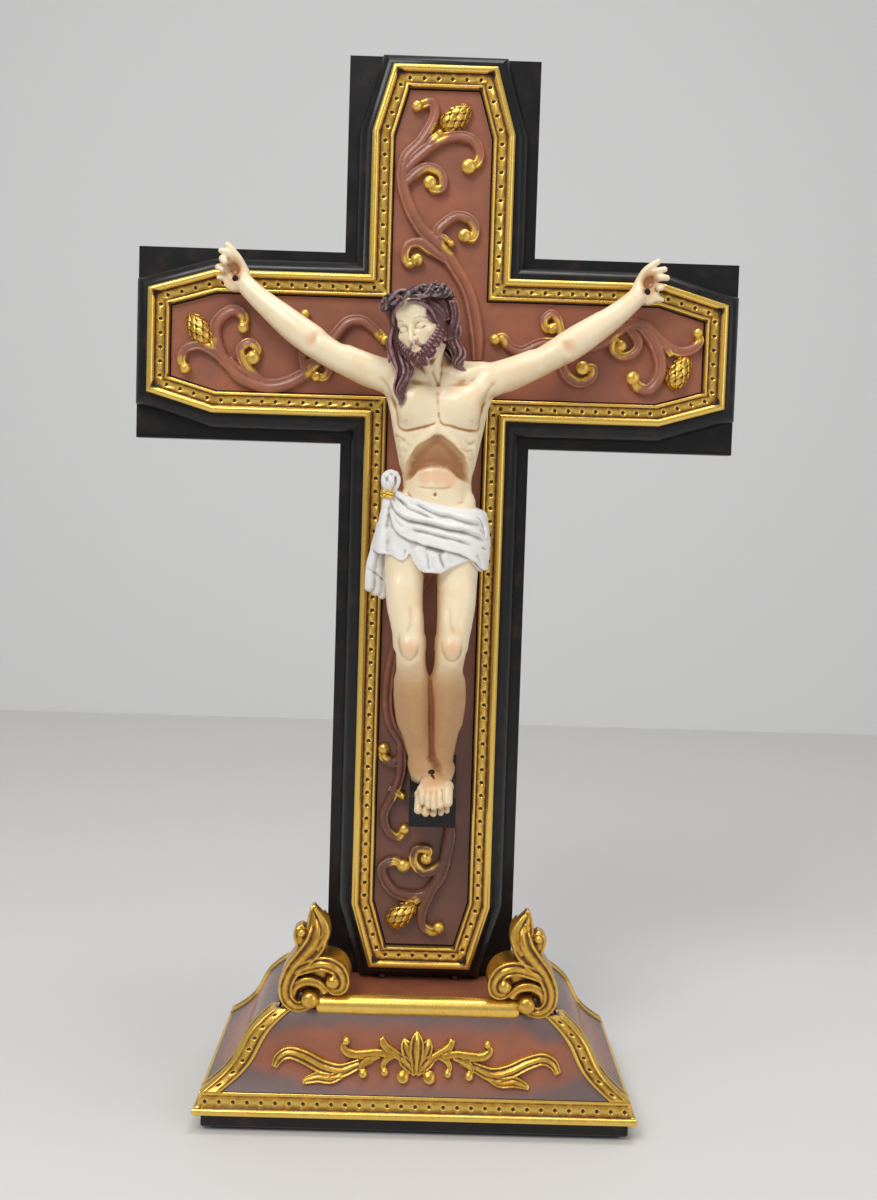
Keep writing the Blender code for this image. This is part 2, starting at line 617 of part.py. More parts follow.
def ornament():
    """Gilt leaf scrolls applied to the front panel, points in steps from the panel's middle."""
    middle = (SLOPE_Z + PLINTH_TOP_Z) / 2 - 2 * ORNAMENT_STEP
    half = [
        [(0, -10, 1.3), (5, -4, 1.2), (10, 1, 1.1), (14, 4, 0.9), (15, 7, 1.0)],
        [(9, 0, 1.0), (18, 0, 1.1), (25, 0, 1.0), (30, 2, 0.9), (30, 5, 1.1)],
        [(5, -3, 1.2), (4, -8, 1.2), (6, -12, 1.5)],
        [(14, 0, 1.0), (14, -5, 1.1), (12, -9, 1.1)],
        [(22, 0, 1.0), (23, -5, 1.0), (22, -8, 1.3)],
        [(18, 0, 0.8), (31, -5, 1.1), (42, -3, 1.1), (52, 2, 1.1), (59, 3, 1.0), (64, -1, 1.0), (66, -7, 0.8)],
        [(29, -4, 0.9), (36, -9, 1.0), (44, -9, 1.1), (50, -12, 0.7)],
    ]
    solids = []
    for side in (-1, 1):
        for points in half:
            stations = []
            for x, z, s in smooth_path(points, 2):
                height = middle + z * ORNAMENT_STEP
                wire = ORNAMENT_WIRE * s
                place = (side * x * ORNAMENT_STEP, -half_y(height) - 0.4 * wire, height)
                stations.append((*place, wire, wire * 1.2))
            solids.append(limb(stations, 7, 1))
    z = middle + 2 * ORNAMENT_STEP
    rise = 6 * ORNAMENT_STEP
    lean = math.degrees(math.atan2(half_y(z - rise) - half_y(z + rise), 2 * rise))
    for x, wide, tall in ((0, 2.2, 10), (-3, 1.8, 7), (3, 1.8, 7)):
        half_size = (wide * ORNAMENT_STEP, 2.0 * MM, tall * ORNAMENT_STEP)
        solids.append(blob((x * ORNAMENT_STEP, -half_y(z) - 0.5 * MM, z), half_size, (-lean, x * 6, 0), 6, 8))
    obj = fused("plinth_ornament", solids, 0.8 * MM, 0.045, "gilt")
    cut(obj, as_cutter(frustum("ornament_room", SLOPE_Z, PLINTH_TOP_Z, -GAP)))


# Fixings hidden in the plinth

def fixing_screws(holders):
    """Two screws from the underside of the plinth up into the cross."""
    y = (BODY_BACK_Y + BODY_FRONT_Y) / 2
    head_low = FELT_THICK + GAP
    tip = CROSS_FOOT_Z + SCREW_BITE - SCREW_HEAD_HEIGHT
    for name, x in (("left", -SCREW_X), ("right", SCREW_X)):
        start, end = (x, y, head_low), (x, y, tip)
        length = tip - head_low
        r, head = SCREW_SHANK / 2, SCREW_HEAD / 2
        turned("fixing_screw_" + name, [(0, head), (SCREW_HEAD_HEIGHT, head), (SCREW_HEAD_HEIGHT, r),
                                        (length - 2 * r, r), (length, 0.25 * r)], start, end, 12, "steel")
        room = turned("screw_room_" + name, [(-2 * GAP, head + GAP), (SCREW_HEAD_HEIGHT + GAP, head + GAP),
                                             (SCREW_HEAD_HEIGHT + GAP, r + GAP), (length + GAP, r + GAP)],
                      start, end, 12)
        as_cutter(room)
        for holder in holders:
            cut(holder, room)


# Corpus

def at(x, forward, z):
    """A place on the corpus: steps right of the middle, in front of its back, above the arm centre."""
    return (x * FLESH, CORPUS_Y - forward * FLESH, ARM_CENTRE_Z + z * FLESH)


def body_limb(stations, sides=10):
    return limb([(*at(x, f, z), w * FLESH, d * FLESH) for x, f, z, w, d in stations], sides, 2)


def head_frame():
    """Head bowed forward, turned and leaning a little towards its right shoulder."""
    turn = Euler([math.radians(a) for a in (18, 6, -18)]).to_matrix()
    return Matrix.Translation(at(-8, 23, 7)) @ turn.to_4x4()


def head_blob(frame, centre, half):
    verts, faces = blob((0, 0, 0), [h * FLESH for h in half], (0, 0, 0), 7, 12)
    x, f, z = centre
    return [frame @ (v + Vector((x, -f, z)) * FLESH) for v in verts], faces


def corpus_body():
    torso = [(0.5, 11, -10, 8, 6), (0.3, 11, -16, 16, 8), (0.5, 12, -24, 21.5, 10), (1.2, 13, -38, 20.3, 11.5),
             (1.2, 12.5, -48, 18.2, 11), (1.2, 11, -58, 16.8, 9.4), (1.5, 11, -68, 17.8, 9.8),
             (2, 11.5, -78, 20.5, 11), (2, 12, -90, 21.5, 11.5), (2, 12.5, -100, 20, 10.5)]
    legs = [
        [(-9, 13, -90, 10, 10), (-12, 15, -106, 9, 9.5), (-11.5, 19, -122, 7.8, 8.5), (-9, 23, -137, 6.6, 7.2),
         (-8.6, 23.5, -144, 6.6, 7.2), (-7.8, 21, -152, 6.3, 6.6), (-7.2, 16.5, -164, 7.6, 7.4),
         (-5, 13, -180, 5.6, 5.8), (-1.5, 12, -192, 4.2, 4.8), (0, 11.5, -199, 4.2, 5)],
        [(12, 13, -90, 10, 10), (12, 15, -106, 9.6, 9.8), (12, 19, -122, 8.4, 8.8), (10, 23, -137, 7.2, 7.4),
         (9.6, 23.5, -144, 7.2, 7.4), (9.5, 21, -152, 6.5, 6.8), (9.6, 16.5, -164, 7.8, 7.6),
         (8.6, 12, -180, 5.8, 6), (7, 9.5, -192, 4.4, 4.8), (6.5, 9, -200, 4.2, 4.8)],
    ]
    feet = [
        [(0, 7, -197, 3.8, 4.4), (1, 13, -199.5, 4.8, 4.8), (2, 21, -206, 5.4, 3.6),
         (2.5, 28, -212.5, 5.8, 2.6), (2.6, 32, -216, 4.8, 1.8)],
        [(6, 5, -199, 4, 4), (7, 12, -202.5, 4.8, 4.4), (8.5, 19, -208.5, 5.2, 3.4), (9.5, 26, -214, 5.6, 2.6),
         (9.8, 30, -217, 4.8, 1.8)],
    ]
    neck = [(0.5, 10.5, -22, 8, 7), (-1.6, 14, -11, 6.6, 6.6), (-4.4, 18, -2, 6.4, 6.8), (-5.6, 20, 4, 6, 6)]
    solids = [body_limb(s, 12) for s in [torso] + legs] + [body_limb(s) for s in feet + [neck]]
    frame = head_frame()
    solids += [head_blob(frame, (0, -2, 4), (11, 12.5, 12.5)), head_blob(frame, (0, 3, -6), (8.2, 8.5, 9)),
               head_blob(frame, (0, 11.5, -2.5), (1.7, 2.6, 3.6))]
    for side in (-1, 1):
        solids.append(body_limb([(side * 10, 9, -13, 5, 6), (side * 20, 10.5, -15.5, 7.2, 7),
                                 (side * 25, 10, -14.5, 7, 6.8)]))
    return fused("corpus_body", solids, 1.15 * MM, 0.04, "flesh")


def shoulder_cutters(side):
    """Two half-spaces that meet at the shoulder joint: one trims the body, the other the arm."""
    face, far = SHOULDER_X, SHOULDER_X + 60 * FLESH
    low, high = ARM_CENTRE_Z - 60 * FLESH, ARM_CENTRE_Z + 10 * FLESH
    front, back = CORPUS_Y - 60 * FLESH, CORPUS_Y + 20 * FLESH
    name = "left" if side < 0 else "right"
    outside = box("body_trim_" + name, (min(side * face, side * far), front, ARM_CENTRE_Z - 32 * FLESH),
                  (max(side * face, side * far), back, high))
    inner = face + GAP
    inside = box("arm_trim_" + name, (min(0, side * inner), front, low), (max(0, side * inner), back, high))
    return as_cutter(outside), as_cutter(inside)


def arm(side):
    """Upper arm, forearm and open hand, from the shoulder joint to the nail."""
    reach = 0 if side < 0 else 2.0 * MM
    shoulder = Vector((SHOULDER_X, CORPUS_Y - 11 * FLESH, ARM_CENTRE_Z - 17 * FLESH))
    nail = Vector((HAND_X + reach, HAND_Y, HAND_Z))
    shape = [(-0.04, 0.4, 7.4, 7), (0.07, 0.7, 7.1, 6.9), (0.18, 1.2, 6.2, 6.2), (0.33, 2.8, 5.8, 5.8),
             (0.445, 3.9, 5.1, 5.1), (0.535, 2.8, 5.6, 5.3), (0.67, 2.0, 5, 4.7), (0.80, 0.8, 4.2, 3.9),
             (0.92, 0.2, 3.7, 3.0), (0.99, 0, 4.7, 3.0)]
    stations = []
    for t, sag, wide, deep in shape:
        p = shoulder.lerp(nail, t)
        bulge = 2.2 * math.sin(math.pi * max(t, 0)) * FLESH
        stations.append((side * p.x, p.y - bulge, p.z - sag * FLESH, wide * FLESH, deep * FLESH))
    hand = [(1.5, 0, 4.5, 5.9, 2.9), (3.0, 0.4, 9, 5.6, 2.6), (3.6, 0.8, 11, 4.6, 1.8)]
    for x, forward, z, wide, deep in hand:
        stations.append((side * (nail.x + x * FLESH), nail.y - forward * FLESH, nail.z + z * FLESH,
                         wide * FLESH, deep * FLESH))
    solids = [limb(stations, 10, 2)]
    along, across = Vector((0.34, 0.94)), Vector((0.94, -0.34))
    finger = ((0, 0.6, 1.5), (0.55, 1.4, 1.4), (0.95, 3.2, 1.25), (1, 4.8, 1.0))
    for offset, length in ((-4.2, 5.6), (-1.5, 6.6), (1.3, 6.4), (3.9, 5.2)):
        points = []
        for share, forward, thick in finger:
            flat = Vector((3.0, 8.8)) + across * offset * (1 + 0.16 * share) + along * (length * share)
            points.append((side * (nail.x + flat.x * FLESH), nail.y - forward * FLESH, nail.z + flat.y * FLESH,
                           thick * FLESH, thick * FLESH))
        solids.append(limb(points, 7, 1))
    thumb = []
    for x, forward, z, thick in ((-3.0, 1.6, 2.5, 1.9), (-5.2, 3.4, 6.0, 1.7), (-4.8, 5.0, 9.5, 1.4),
                                 (-3.6, 5.8, 11.5, 1.1)):
        thumb.append((side * (nail.x + x * FLESH), nail.y - forward * FLESH, nail.z + z * FLESH,
                      thick * FLESH, thick * FLESH))
    solids.append(limb(thumb, 7, 1))
    name = "left" if side < 0 else "right"
    return fused("arm_" + name, solids, 0.8 * MM, 0.034, "flesh"), (side * nail.x, nail.z)


def nail(name, head_at, point_at, holders):
    """A nail with its own room cut through what it holds."""
    head_at, point_at = Vector(head_at), Vector(point_at)
    length = (point_at - head_at).length
    r, head, h = NAIL_SHANK / 2, NAIL_HEAD / 2, NAIL_HEAD_HEIGHT
    turned(name, [(0, 0.6 * head), (0.4 * h, head), (h, head), (h, r), (length - 2 * r, r), (length, 0.3 * r)],
           head_at, point_at, 8, "steel")
    room = turned(name + "_room", [(-4 * MM, head + GAP), (h + GAP, head + GAP), (h + GAP, r + GAP),
                                   (length + GAP, r + GAP)], head_at, point_at, 8)
    as_cutter(room)
    for holder in holders:
        cut(holder, room)


def footrest():
    """Wedge under the feet, its top sloping down to the front."""
    back = PANEL_Y - GAP
    front = back - FOOTREST_REACH
    low = ARM_CENTRE_Z - FOOTREST_DROP
    side = [(back, low), (front, low), (front, low + FOOTREST_FACE), (back - 4 * MM, low + FOOTREST_HEIGHT),
            (back, low + FOOTREST_HEIGHT)]
    middle, half = 4.0 * MM, FOOTREST_WIDTH / 2
    rings = [[Vector((x, y, z)) for y, z in side] for x in (middle - half, middle + half)]
    return add_object("footrest", *bridge(rings), "black")


def crown(frame):
    """Three thorn branches plaited into a ring round the head."""
    solids = []
    turns = 24
    for k in range(3):
        points = []
        for i in range(turns + 1):
            a = 2 * math.pi * i / turns
            twist = 3 * a + 2 * math.pi * k / 3
            radius = 14.2 + 1.5 * math.cos(twist)
            centre = frame @ (Vector((radius * math.cos(a), radius * 1.06 * math.sin(a) + 1.5,
                                      9.5 + 2.2 * math.sin(twist))) * FLESH)
            points.append(centre)
        rings = []
        for i, p in enumerate(points[:-1]):
            axis = (points[(i + 1) % turns] - points[i - 1]).normalized()
            up = (frame.to_3x3() @ Vector((0, 0, 1))).normalized()
            out = axis.cross(up).normalized()
            up = out.cross(axis)
            rings.append([p + (out * math.cos(b) + up * math.sin(b)) * 1.9 * FLESH
                          for b in (2 * math.pi * j / 6 for j in range(6))])
        rings.append(rings[0])
        verts, faces = bridge(rings[:-1], False)
        last = (turns - 1) * 6
        faces += [(last + j, last + (j + 1) % 6, (j + 1) % 6, j) for j in range(6)]
        solids.append((verts, faces))
    return fused("crown_of_thorns", solids, 0.95 * MM, 0.065, "thorn")


def hair(frame):
    """Hair falling to the shoulders, joined by its sideburns to a short beard."""
    solids = [head_blob(frame, (0, -3.5, 5), (12.8, 13.2, 13.6)), head_blob(frame, (0, 6, -13), (7, 5.6, 5.5)),
              head_blob(frame, (-9.5, -3, -6), (4.2, 7.5, 11)), head_blob(frame, (9.5, -3, -6), (4.2, 7.5, 11)),
              head_blob(frame, (-7, 3, -9), (3.2, 4.5, 5.5)), head_blob(frame, (7, 3, -9), (3.2, 4.5, 5.5)),
              head_blob(frame, (0, -11, -5), (11, 6, 12))]
    solids.append(body_limb([(-15, 20, 4, 3.4, 4), (-16, 22, -8, 3.6, 4), (-16.5, 22.5, -20, 3, 3.4),
                             (-16.5, 21.5, -28, 1.6, 2)], 8))
    solids.append(body_limb([(6, 18, 4, 4, 5), (9.5, 17, -4, 4.4, 5), (11.5, 17.5, -10, 3, 3.6)], 8))
    return fused("hair_and_beard", solids, 1.1 * MM, 0.034, "hair")


def face_opening(frame):
    verts, faces = head_blob(frame, (0, 17, 1.5), (8.6, 11.5, 9.5))
    return as_cutter(add_object("face_opening", verts, faces))


def loincloth():
    """Cloth wound round the hips, knotted at the right hip with one end hanging."""
    wrap = [(1.5, 12, -70.5, 19.8, 12), (2, 12.5, -78, 23, 13.4), (1.2, 13, -90, 25.5, 14.6),
            (0.3, 13.5, -100, 26.5, 15), (0, 13.5, -105.5, 25.5, 14)]
    tail = [(-20, 17, -64, 4, 4), (-24, 17, -76, 5, 5), (-26, 15, -92, 5.4, 5.5), (-26, 13, -106, 5.2, 4.5),
            (-25.5, 12, -115, 5, 3.4)]
    knot = [(-16, 20, -60, 3, 3), (-20, 19, -61, 5, 4.4), (-23, 17.5, -66, 4.4, 4)]
    return fused("loincloth", [body_limb(wrap, 16), body_limb(tail), body_limb(knot)], 1.2 * MM, 0.044, "linen")


def waist_cord():
    """Gilt cord bound round the gathered cloth below the knot."""
    centre, ring_radius, wire = Vector(at(-22.3, 17.5, -69)), 6.0 * FLESH, 1.1 * FLESH
    rings = []
    for i in range(16):
        a = 2 * math.pi * i / 16
        out = Vector((math.cos(a), math.sin(a), 0))
        up = Vector((0.25 * math.cos(a), 0, 1)).normalized()
        middle = centre + Vector((out.x * ring_radius, out.y * ring_radius, -0.25 * out.x * ring_radius))
        rings.append([middle + (out * math.cos(b) + up * math.sin(b)) * wire
                      for b in (2 * math.pi * j / 6 for j in range(6))])
    verts, faces = bridge(rings, False)
    last = 15 * 6
    faces += [(last + j, last + (j + 1) % 6, (j + 1) % 6, j) for j in range(6)]
    return add_object("waist_cord", verts, faces, "gilt", 60)


def mounting_pin(name, x, z, holders):
    """Peg between the back of the corpus and the cross."""
    front, back = at(x, 7, z), (x * FLESH, POCKET_Y + 3 * MM, ARM_CENTRE_Z + z * FLESH)
    length = back[1] - front[1]
    turned(name, [(0, PIN_RADIUS), (length, PIN_RADIUS)], front, back, 10, "steel")
    room = turned(name + "_room", [(-GAP, PIN_RADIUS + GAP), (length + GAP, PIN_RADIUS + GAP)], front, back, 10)
    as_cutter(room)
    for holder in holders:
        cut(holder, room)


def build():
    backing_board()
    core, panel = cross_body(), cross_panel()
    gilt = gilt_mouldings()
    lower_vines = vines()

    plinth, foot, plate = plinth_core(), plinth_foot(), top_plate()
    felt_pad()
    base_rails()
    corner_mouldings()
    panels = face_panels()
    roll_bar()
    room_end, room_radius = BAR_HALF_LENGTH + GAP, BAR_RADIUS + GAP
    bar_room = as_cutter(turned("bar_room", [(0, room_radius), (2 * room_end, room_radius)],
                                (-room_end, BAR_Y, BAR_Z), (room_end, BAR_Y, BAR_Z), 18))
    for seat in (plinth, plate, panels["front"]):
        cut(seat, bar_room)
    volutes(bar_room)
    ornament()
    fixing_screws([foot, plinth, plate, core])

    body = corpus_body()
    arms = {}
    for side, name in ((-1, "left"), (1, "right")):
        body_trim, arm_trim = shoulder_cutters(side)
        piece, place = arm(side)
        arms[name] = (piece, place, arm_trim, body_trim)
    body_room = swollen_copy(body, CARVED_GAP, "body_room")
    for name, (piece, place, arm_trim, body_trim) in arms.items():
        cut(piece, arm_trim)
        cut(body, body_trim)
    rest = footrest()
    rest_room = swollen_copy(rest, GAP, "rest_room")
    for neighbour in (body, *lower_vines):
        cut(neighbour, rest_room)

    frame = head_frame()
    ring = crown(frame)
    ring_room = swollen_copy(ring, CARVED_GAP, "crown_room")
    cut(ring, body_room)
    locks = hair(frame)
    for cutter in (body_room, ring_room, face_opening(frame)):
        cut(locks, cutter)

    cloth, cord = loincloth(), waist_cord()
    cut(cloth, body_room)
    cut(cloth, swollen_copy(cord, GAP, "cord_room"))
    cut(cord, body_room)

    for name, (piece, place, arm_trim, body_trim) in arms.items():
        x, z = place
        nail("nail_hand_" + name, (x, HAND_Y - HAND_DEPTH - 1.4 * MM, z), (x, GILT_FRONT_Y + NAIL_BITE, z),
             [piece, gilt[name]])
    slope = Vector((0, -0.57, 0.82))
    base = Vector(at(2.9, 13, -206.8))
    nail("nail_feet", base + slope * 11 * FLESH, base - slope * 4 * FLESH, [body, rest])
    mounting_pin("mounting_pin_upper", 1, -36, [body, panel, core])
    mounting_pin("mounting_pin_lower", 2, -84, [body, cloth, panel, core])


clear_scene()
MATERIALS = make_materials()
build()
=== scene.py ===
import math
import random

import bmesh
import bpy
import numpy as np
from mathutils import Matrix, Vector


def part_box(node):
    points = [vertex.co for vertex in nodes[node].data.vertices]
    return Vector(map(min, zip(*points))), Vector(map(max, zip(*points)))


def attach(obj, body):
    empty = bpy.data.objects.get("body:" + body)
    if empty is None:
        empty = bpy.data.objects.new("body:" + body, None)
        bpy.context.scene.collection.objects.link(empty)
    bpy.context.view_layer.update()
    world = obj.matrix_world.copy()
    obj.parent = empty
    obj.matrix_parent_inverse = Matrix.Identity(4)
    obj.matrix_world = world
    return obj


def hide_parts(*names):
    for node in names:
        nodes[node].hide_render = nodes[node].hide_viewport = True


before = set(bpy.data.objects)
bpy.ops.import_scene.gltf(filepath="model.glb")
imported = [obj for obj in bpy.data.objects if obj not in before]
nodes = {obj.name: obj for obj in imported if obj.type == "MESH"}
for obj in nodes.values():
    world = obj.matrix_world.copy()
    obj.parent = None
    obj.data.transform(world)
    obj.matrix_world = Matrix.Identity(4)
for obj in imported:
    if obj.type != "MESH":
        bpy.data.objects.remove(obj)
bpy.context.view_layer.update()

import openvdb
from mathutils import Euler, Matrix, Vector

mm = 0.001
bpy.ops.object.select_all(action="DESELECT")
print("frame loaded,", len(nodes), "CAD nodes")


# Camera, stage and light

view = {
    "place": (-3.5 * mm, -658.6 * mm, 283.0 * mm),
    "turn": 0.67,        # degrees to the right
    "dip": 3.53,         # degrees down
    "roll": 1.76,        # degrees, the picture's top leans right
    "focalPixels": 1364.0,
    "imageHeight": 1200,
    "sensor": 36.0,
}
studio = {
    "floorColour": (0.80, 0.79, 0.78),
    "backdropColour": (0.86, 0.86, 0.86),
    "worldLight": 0.36,
    "aim": (0, 0, 0.25),
    "lamps": {           # place, size and power
        "key lamp": ((-0.48, -1.0, 1.3), (0.6, 0.6), 10.4),
        "fill lamp": ((0.95, -0.9, 0.55), (0.8, 0.8), 2.3),
        "top lamp": ((0.15, -0.15, 1.35), (0.6, 0.4), 4.2),
    },
}


def addCamera():
    cam = bpy.data.objects.new("camera", bpy.data.cameras.new("camera"))
    bpy.context.scene.collection.objects.link(cam)
    cam.data.sensor_fit = "VERTICAL"
    cam.data.sensor_height = view["sensor"]
    cam.data.lens = view["focalPixels"] / view["imageHeight"] * view["sensor"]
    cam.data.clip_start = 0.01
    turn, dip, roll = (math.radians(view[k]) for k in ("turn", "dip", "roll"))
    forward = Vector((math.sin(turn) * math.cos(dip), math.cos(turn) * math.cos(dip), -math.sin(dip)))
    right = Vector((math.cos(turn), -math.sin(turn), 0))
    up = right.cross(forward)
    rightRolled = right * math.cos(roll) + up * math.sin(roll)
    upRolled = up * math.cos(roll) - right * math.sin(roll)
    aim = Matrix((rightRolled, upRolled, -forward)).transposed()
    cam.matrix_world = Matrix.Translation(view["place"]) @ aim.to_4x4()
    bpy.context.scene.camera = cam


def addLamp(name, place, size, power):
    bpy.ops.object.light_add(type="AREA", location=place)
    lamp = bpy.context.object
    lamp.name = name
    lamp.data.shape = "RECTANGLE"
    lamp.data.size, lamp.data.size_y = size
    lamp.data.energy = power
    lamp.rotation_euler = (Vector(studio["aim"]) - Vector(place)).to_track_quat("-Z", "Y").to_euler()


# Shader maths: a Field is a socket that adds Math nodes when it is used in an expression


class Field:
    def __init__(self, paint, node, output=0):
        self.paint = paint
        self.node = node
        self.socket = node.outputs[output]

    def __getitem__(self, output):
        return Field(self.paint, self.node, output)

    def maths(self, operation, *values):
        return self.paint.add("Math", {"operation": operation}, *values)

    def __add__(self, other):
        return self.maths("ADD", self, other)

    def __sub__(self, other):
        return self.maths("SUBTRACT", self, other)

    def __rsub__(self, other):
        return self.maths("SUBTRACT", other, self)

    def __mul__(self, other):
        return self.maths("MULTIPLY", self, other)

    __radd__ = __add__
    __rmul__ = __mul__


class Paint:
    def __init__(self, name):
        self.material = bpy.data.materials.new(name)
        self.material.use_nodes = True
        self.nodes = self.material.node_tree.nodes
        self.shader = self.nodes["Principled BSDF"]
        self.place = self.add("TexCoord", {})["Object"]

    # kind without its ShaderNode prefix, its settings, then values or fields for its sockets
    def add(self, kind, settings, *values, **named):
        node = self.nodes.new("ShaderNode" + kind)
        for key, value in settings.items():
            setattr(node, key, value)
        for key, value in list(enumerate(values)) + list(named.items()):
            self.feed(node.inputs[key], value)
        return Field(self, node)

    def feed(self, socket, value):
        if isinstance(value, Field):
            self.material.node_tree.links.new(value.socket, socket)
        elif value is not None:
            socket.default_value = (*value, 1) if socket.type == "RGBA" else value

    def noise(self, size, detail, stretch=None):
        place = self.place
        if stretch:
            place = self.add("Mapping", {}, place, Scale=stretch)
        return self.add("TexNoise", {}, Vector=place, Scale=1 / size, Detail=detail)

    def step(self, value, low, high):
        return self.add("MapRange", {"interpolation_type": "SMOOTHSTEP"}, value, low, high, 0.0, 1.0)

    def mix(self, share, first, second):
        node = self.add("Mix", {"data_type": "RGBA"}, share).node
        self.feed(node.inputs[6], first)
        self.feed(node.inputs[7], second)
        return Field(self, node, 2)

    def marked(self, name):
        return self.add("Attribute", {"attribute_name": name})["Fac"]

    def bump(self, height, strength, depth):
        return self.add("Bump", {}, Strength=strength, Distance=depth, Height=height)

    def finish(self, **sockets):
        for name, value in sockets.items():
            self.feed(self.shader.inputs[name.replace("_", " ")], value)
        return self.material


# Finishes. Carved pieces carry a mark called relief, from -1 in a hollow to 1 on an edge, and some
# carry more that say where gold leaf, shadow, pink or blood lies.

# tones of the gilding: the brown in the hollows is antique glaze that also stands in for their shade, and the
# near-black deepest tone is painted shade
gold = {
    "leaf": (0.90, 0.60, 0.13),
    "worn": (0.62, 0.33, 0.045),
    "wash": (0.105, 0.036, 0.012),
    "deep": (0.022, 0.009, 0.005),
    "roughness": 0.30,
}
# glaze tones: grey is random tone and, on the plinth panels, painted sheen; dark is painted shade in hollows
# and towards the foot of the cross; edge is dry-brushed paint and a painted highlight on the ridges of the
# scrollwork
glaze = {
    "body": (0.300, 0.108, 0.060),
    "warm": (0.385, 0.128, 0.066),
    "grey": (0.160, 0.104, 0.098),
    "dark": (0.048, 0.018, 0.013),
    "edge": (0.620, 0.360, 0.240),
    "roughness": 0.36,
}
lacquer = {"black": (0.007, 0.0065, 0.007), "brown": (0.030, 0.016, 0.011), "roughness": 0.34}
# the tan half tone, shade and deep tones are painted shade in hollows, creases and where less light falls;
# pink and blood are the paint's own
skin = {
    "light": (0.94, 0.79, 0.54),
    "warm": (0.90, 0.67, 0.39),
    "pink": (0.86, 0.50, 0.28),
    "tan": (0.62, 0.37, 0.17),
    "shade": (0.37, 0.155, 0.050),
    "deep": (0.20, 0.060, 0.024),
    "blood": (0.16, 0.008, 0.006),
    "roughness": 0.38,
}
# deep tones of hair, thorns and linen, and linen's grey fold tone, are painted shade in grooves and folds;
# the light hair and thorn tone is dry-brushed paint and a painted highlight
locks = {"base": (0.098, 0.027, 0.026), "light": (0.460, 0.270, 0.285), "deep": (0.014, 0.004, 0.005)}
thorns = {"base": (0.032, 0.012, 0.013), "light": (0.430, 0.300, 0.315), "deep": (0.005, 0.003, 0.004)}
linen = {"white": (0.86, 0.84, 0.81), "fold": (0.50, 0.47, 0.46), "deep": (0.26, 0.22, 0.20)}


# gold leaf on the edges; the hollows washed brown with antique glaze that also stands in for their shade,
# near black in the deepest ones as painted shade
def gildWith(paint, relief, blotch):
    wash = paint.mix(paint.step(relief + blotch * 0.25, -0.80, -0.34), gold["deep"], gold["wash"])
    worn = paint.mix(paint.step(relief + blotch * 0.5, -0.36, 0.02), wash, gold["worn"])
    return paint.mix(paint.step(relief + blotch * 0.8, 0.02, 0.60), worn, gold["leaf"])


def makeGold():
    paint = Paint("antiqueGold")
    blotch = paint.noise(2.6 * mm, 4)["Fac"] - 0.5
    fine = paint.noise(0.5 * mm, 3)["Fac"]
    relief = paint.marked("relief")
    colour = gildWith(paint, relief, blotch)
    metal = paint.step(relief + blotch * 0.5, -0.55, -0.1) * 0.88
    rough = gold["roughness"] + (fine - 0.5) * 0.22 + (1 - paint.step(relief, -0.5, 0.1)) * 0.2
    brush = paint.noise(0.9 * mm, 3, (1.0, 1.0, 0.35))["Fac"] + blotch * 0.8
    return paint.finish(Base_Color=colour, Metallic=metal, Roughness=rough,
                        Normal=paint.bump(brush, 0.35, 0.12 * mm), Coat_Weight=0.15)


def makeGlaze(name, gilded):
    paint = Paint(name)
    cloud = paint.noise(16 * mm, 3)["Fac"]
    blotch = paint.noise(3.2 * mm, 4)["Fac"] - 0.5
    relief = paint.marked("relief")
    shadow = paint.marked("shadow")
    colour = paint.mix(paint.step(cloud, 0.35, 0.68), glaze["body"], glaze["warm"])
    # greyer with random tone, and on the plinth panels a painted sheen from their shadow mark, where the
    # curved face catches the light
    colour = paint.mix(paint.step(shadow + (cloud - 0.5) * 0.7 + blotch * 0.3, 0.30, 0.95), colour,
                       glaze["grey"])
    # painted shade: dark glaze in the hollows of the carving
    colour = paint.mix(paint.step(relief + blotch * 0.3, -0.08, -0.75), colour, glaze["dark"])
    # painted shade: darker towards the foot of the cross, where less light reaches
    up = paint.add("SeparateXYZ", {}, paint.place)["Z"]
    foot = paint.step(up + cloud * 0.02, 0.36, 0.12) * paint.step(up, 0.060, 0.072)
    colour = paint.mix(foot * 0.62, colour, glaze["dark"])
    metal = None
    if gilded:
        # lighter ridges: dry-brushed paint and a painted highlight along the crests
        colour = paint.mix(paint.step(relief + blotch * 0.9, 0.24, 0.95) * 0.75, colour, glaze["edge"])
        rub = paint.step(relief * 0.3 + paint.marked("leaf") + blotch * 0.6, 0.42, 0.85)
        colour = paint.mix(rub, colour, gildWith(paint, relief + 0.2, blotch))
        metal = rub * 0.8
    rough = glaze["roughness"] + blotch * 0.22
    return paint.finish(Base_Color=colour, Metallic=metal, Roughness=rough, Coat_Weight=0.2,
                        Normal=paint.bump(blotch + cloud, 0.25, 0.15 * mm))


def makeLacquer():
    paint = Paint("blackLacquer")
    cloud = paint.noise(9 * mm, 4)["Fac"]
    stroke = paint.noise(1.6 * mm, 4, (1.0, 1.0, 0.12))["Fac"]
    colour = paint.mix(paint.step(cloud, 0.50, 0.82), lacquer["black"], lacquer["brown"])
    rough = lacquer["roughness"] + (cloud - 0.5) * 0.3
    return paint.finish(Base_Color=colour, Roughness=rough, Coat_Weight=0.12, Specular_IOR_Level=0.3,
                        Normal=paint.bump(stroke + cloud, 0.22, 0.12 * mm))


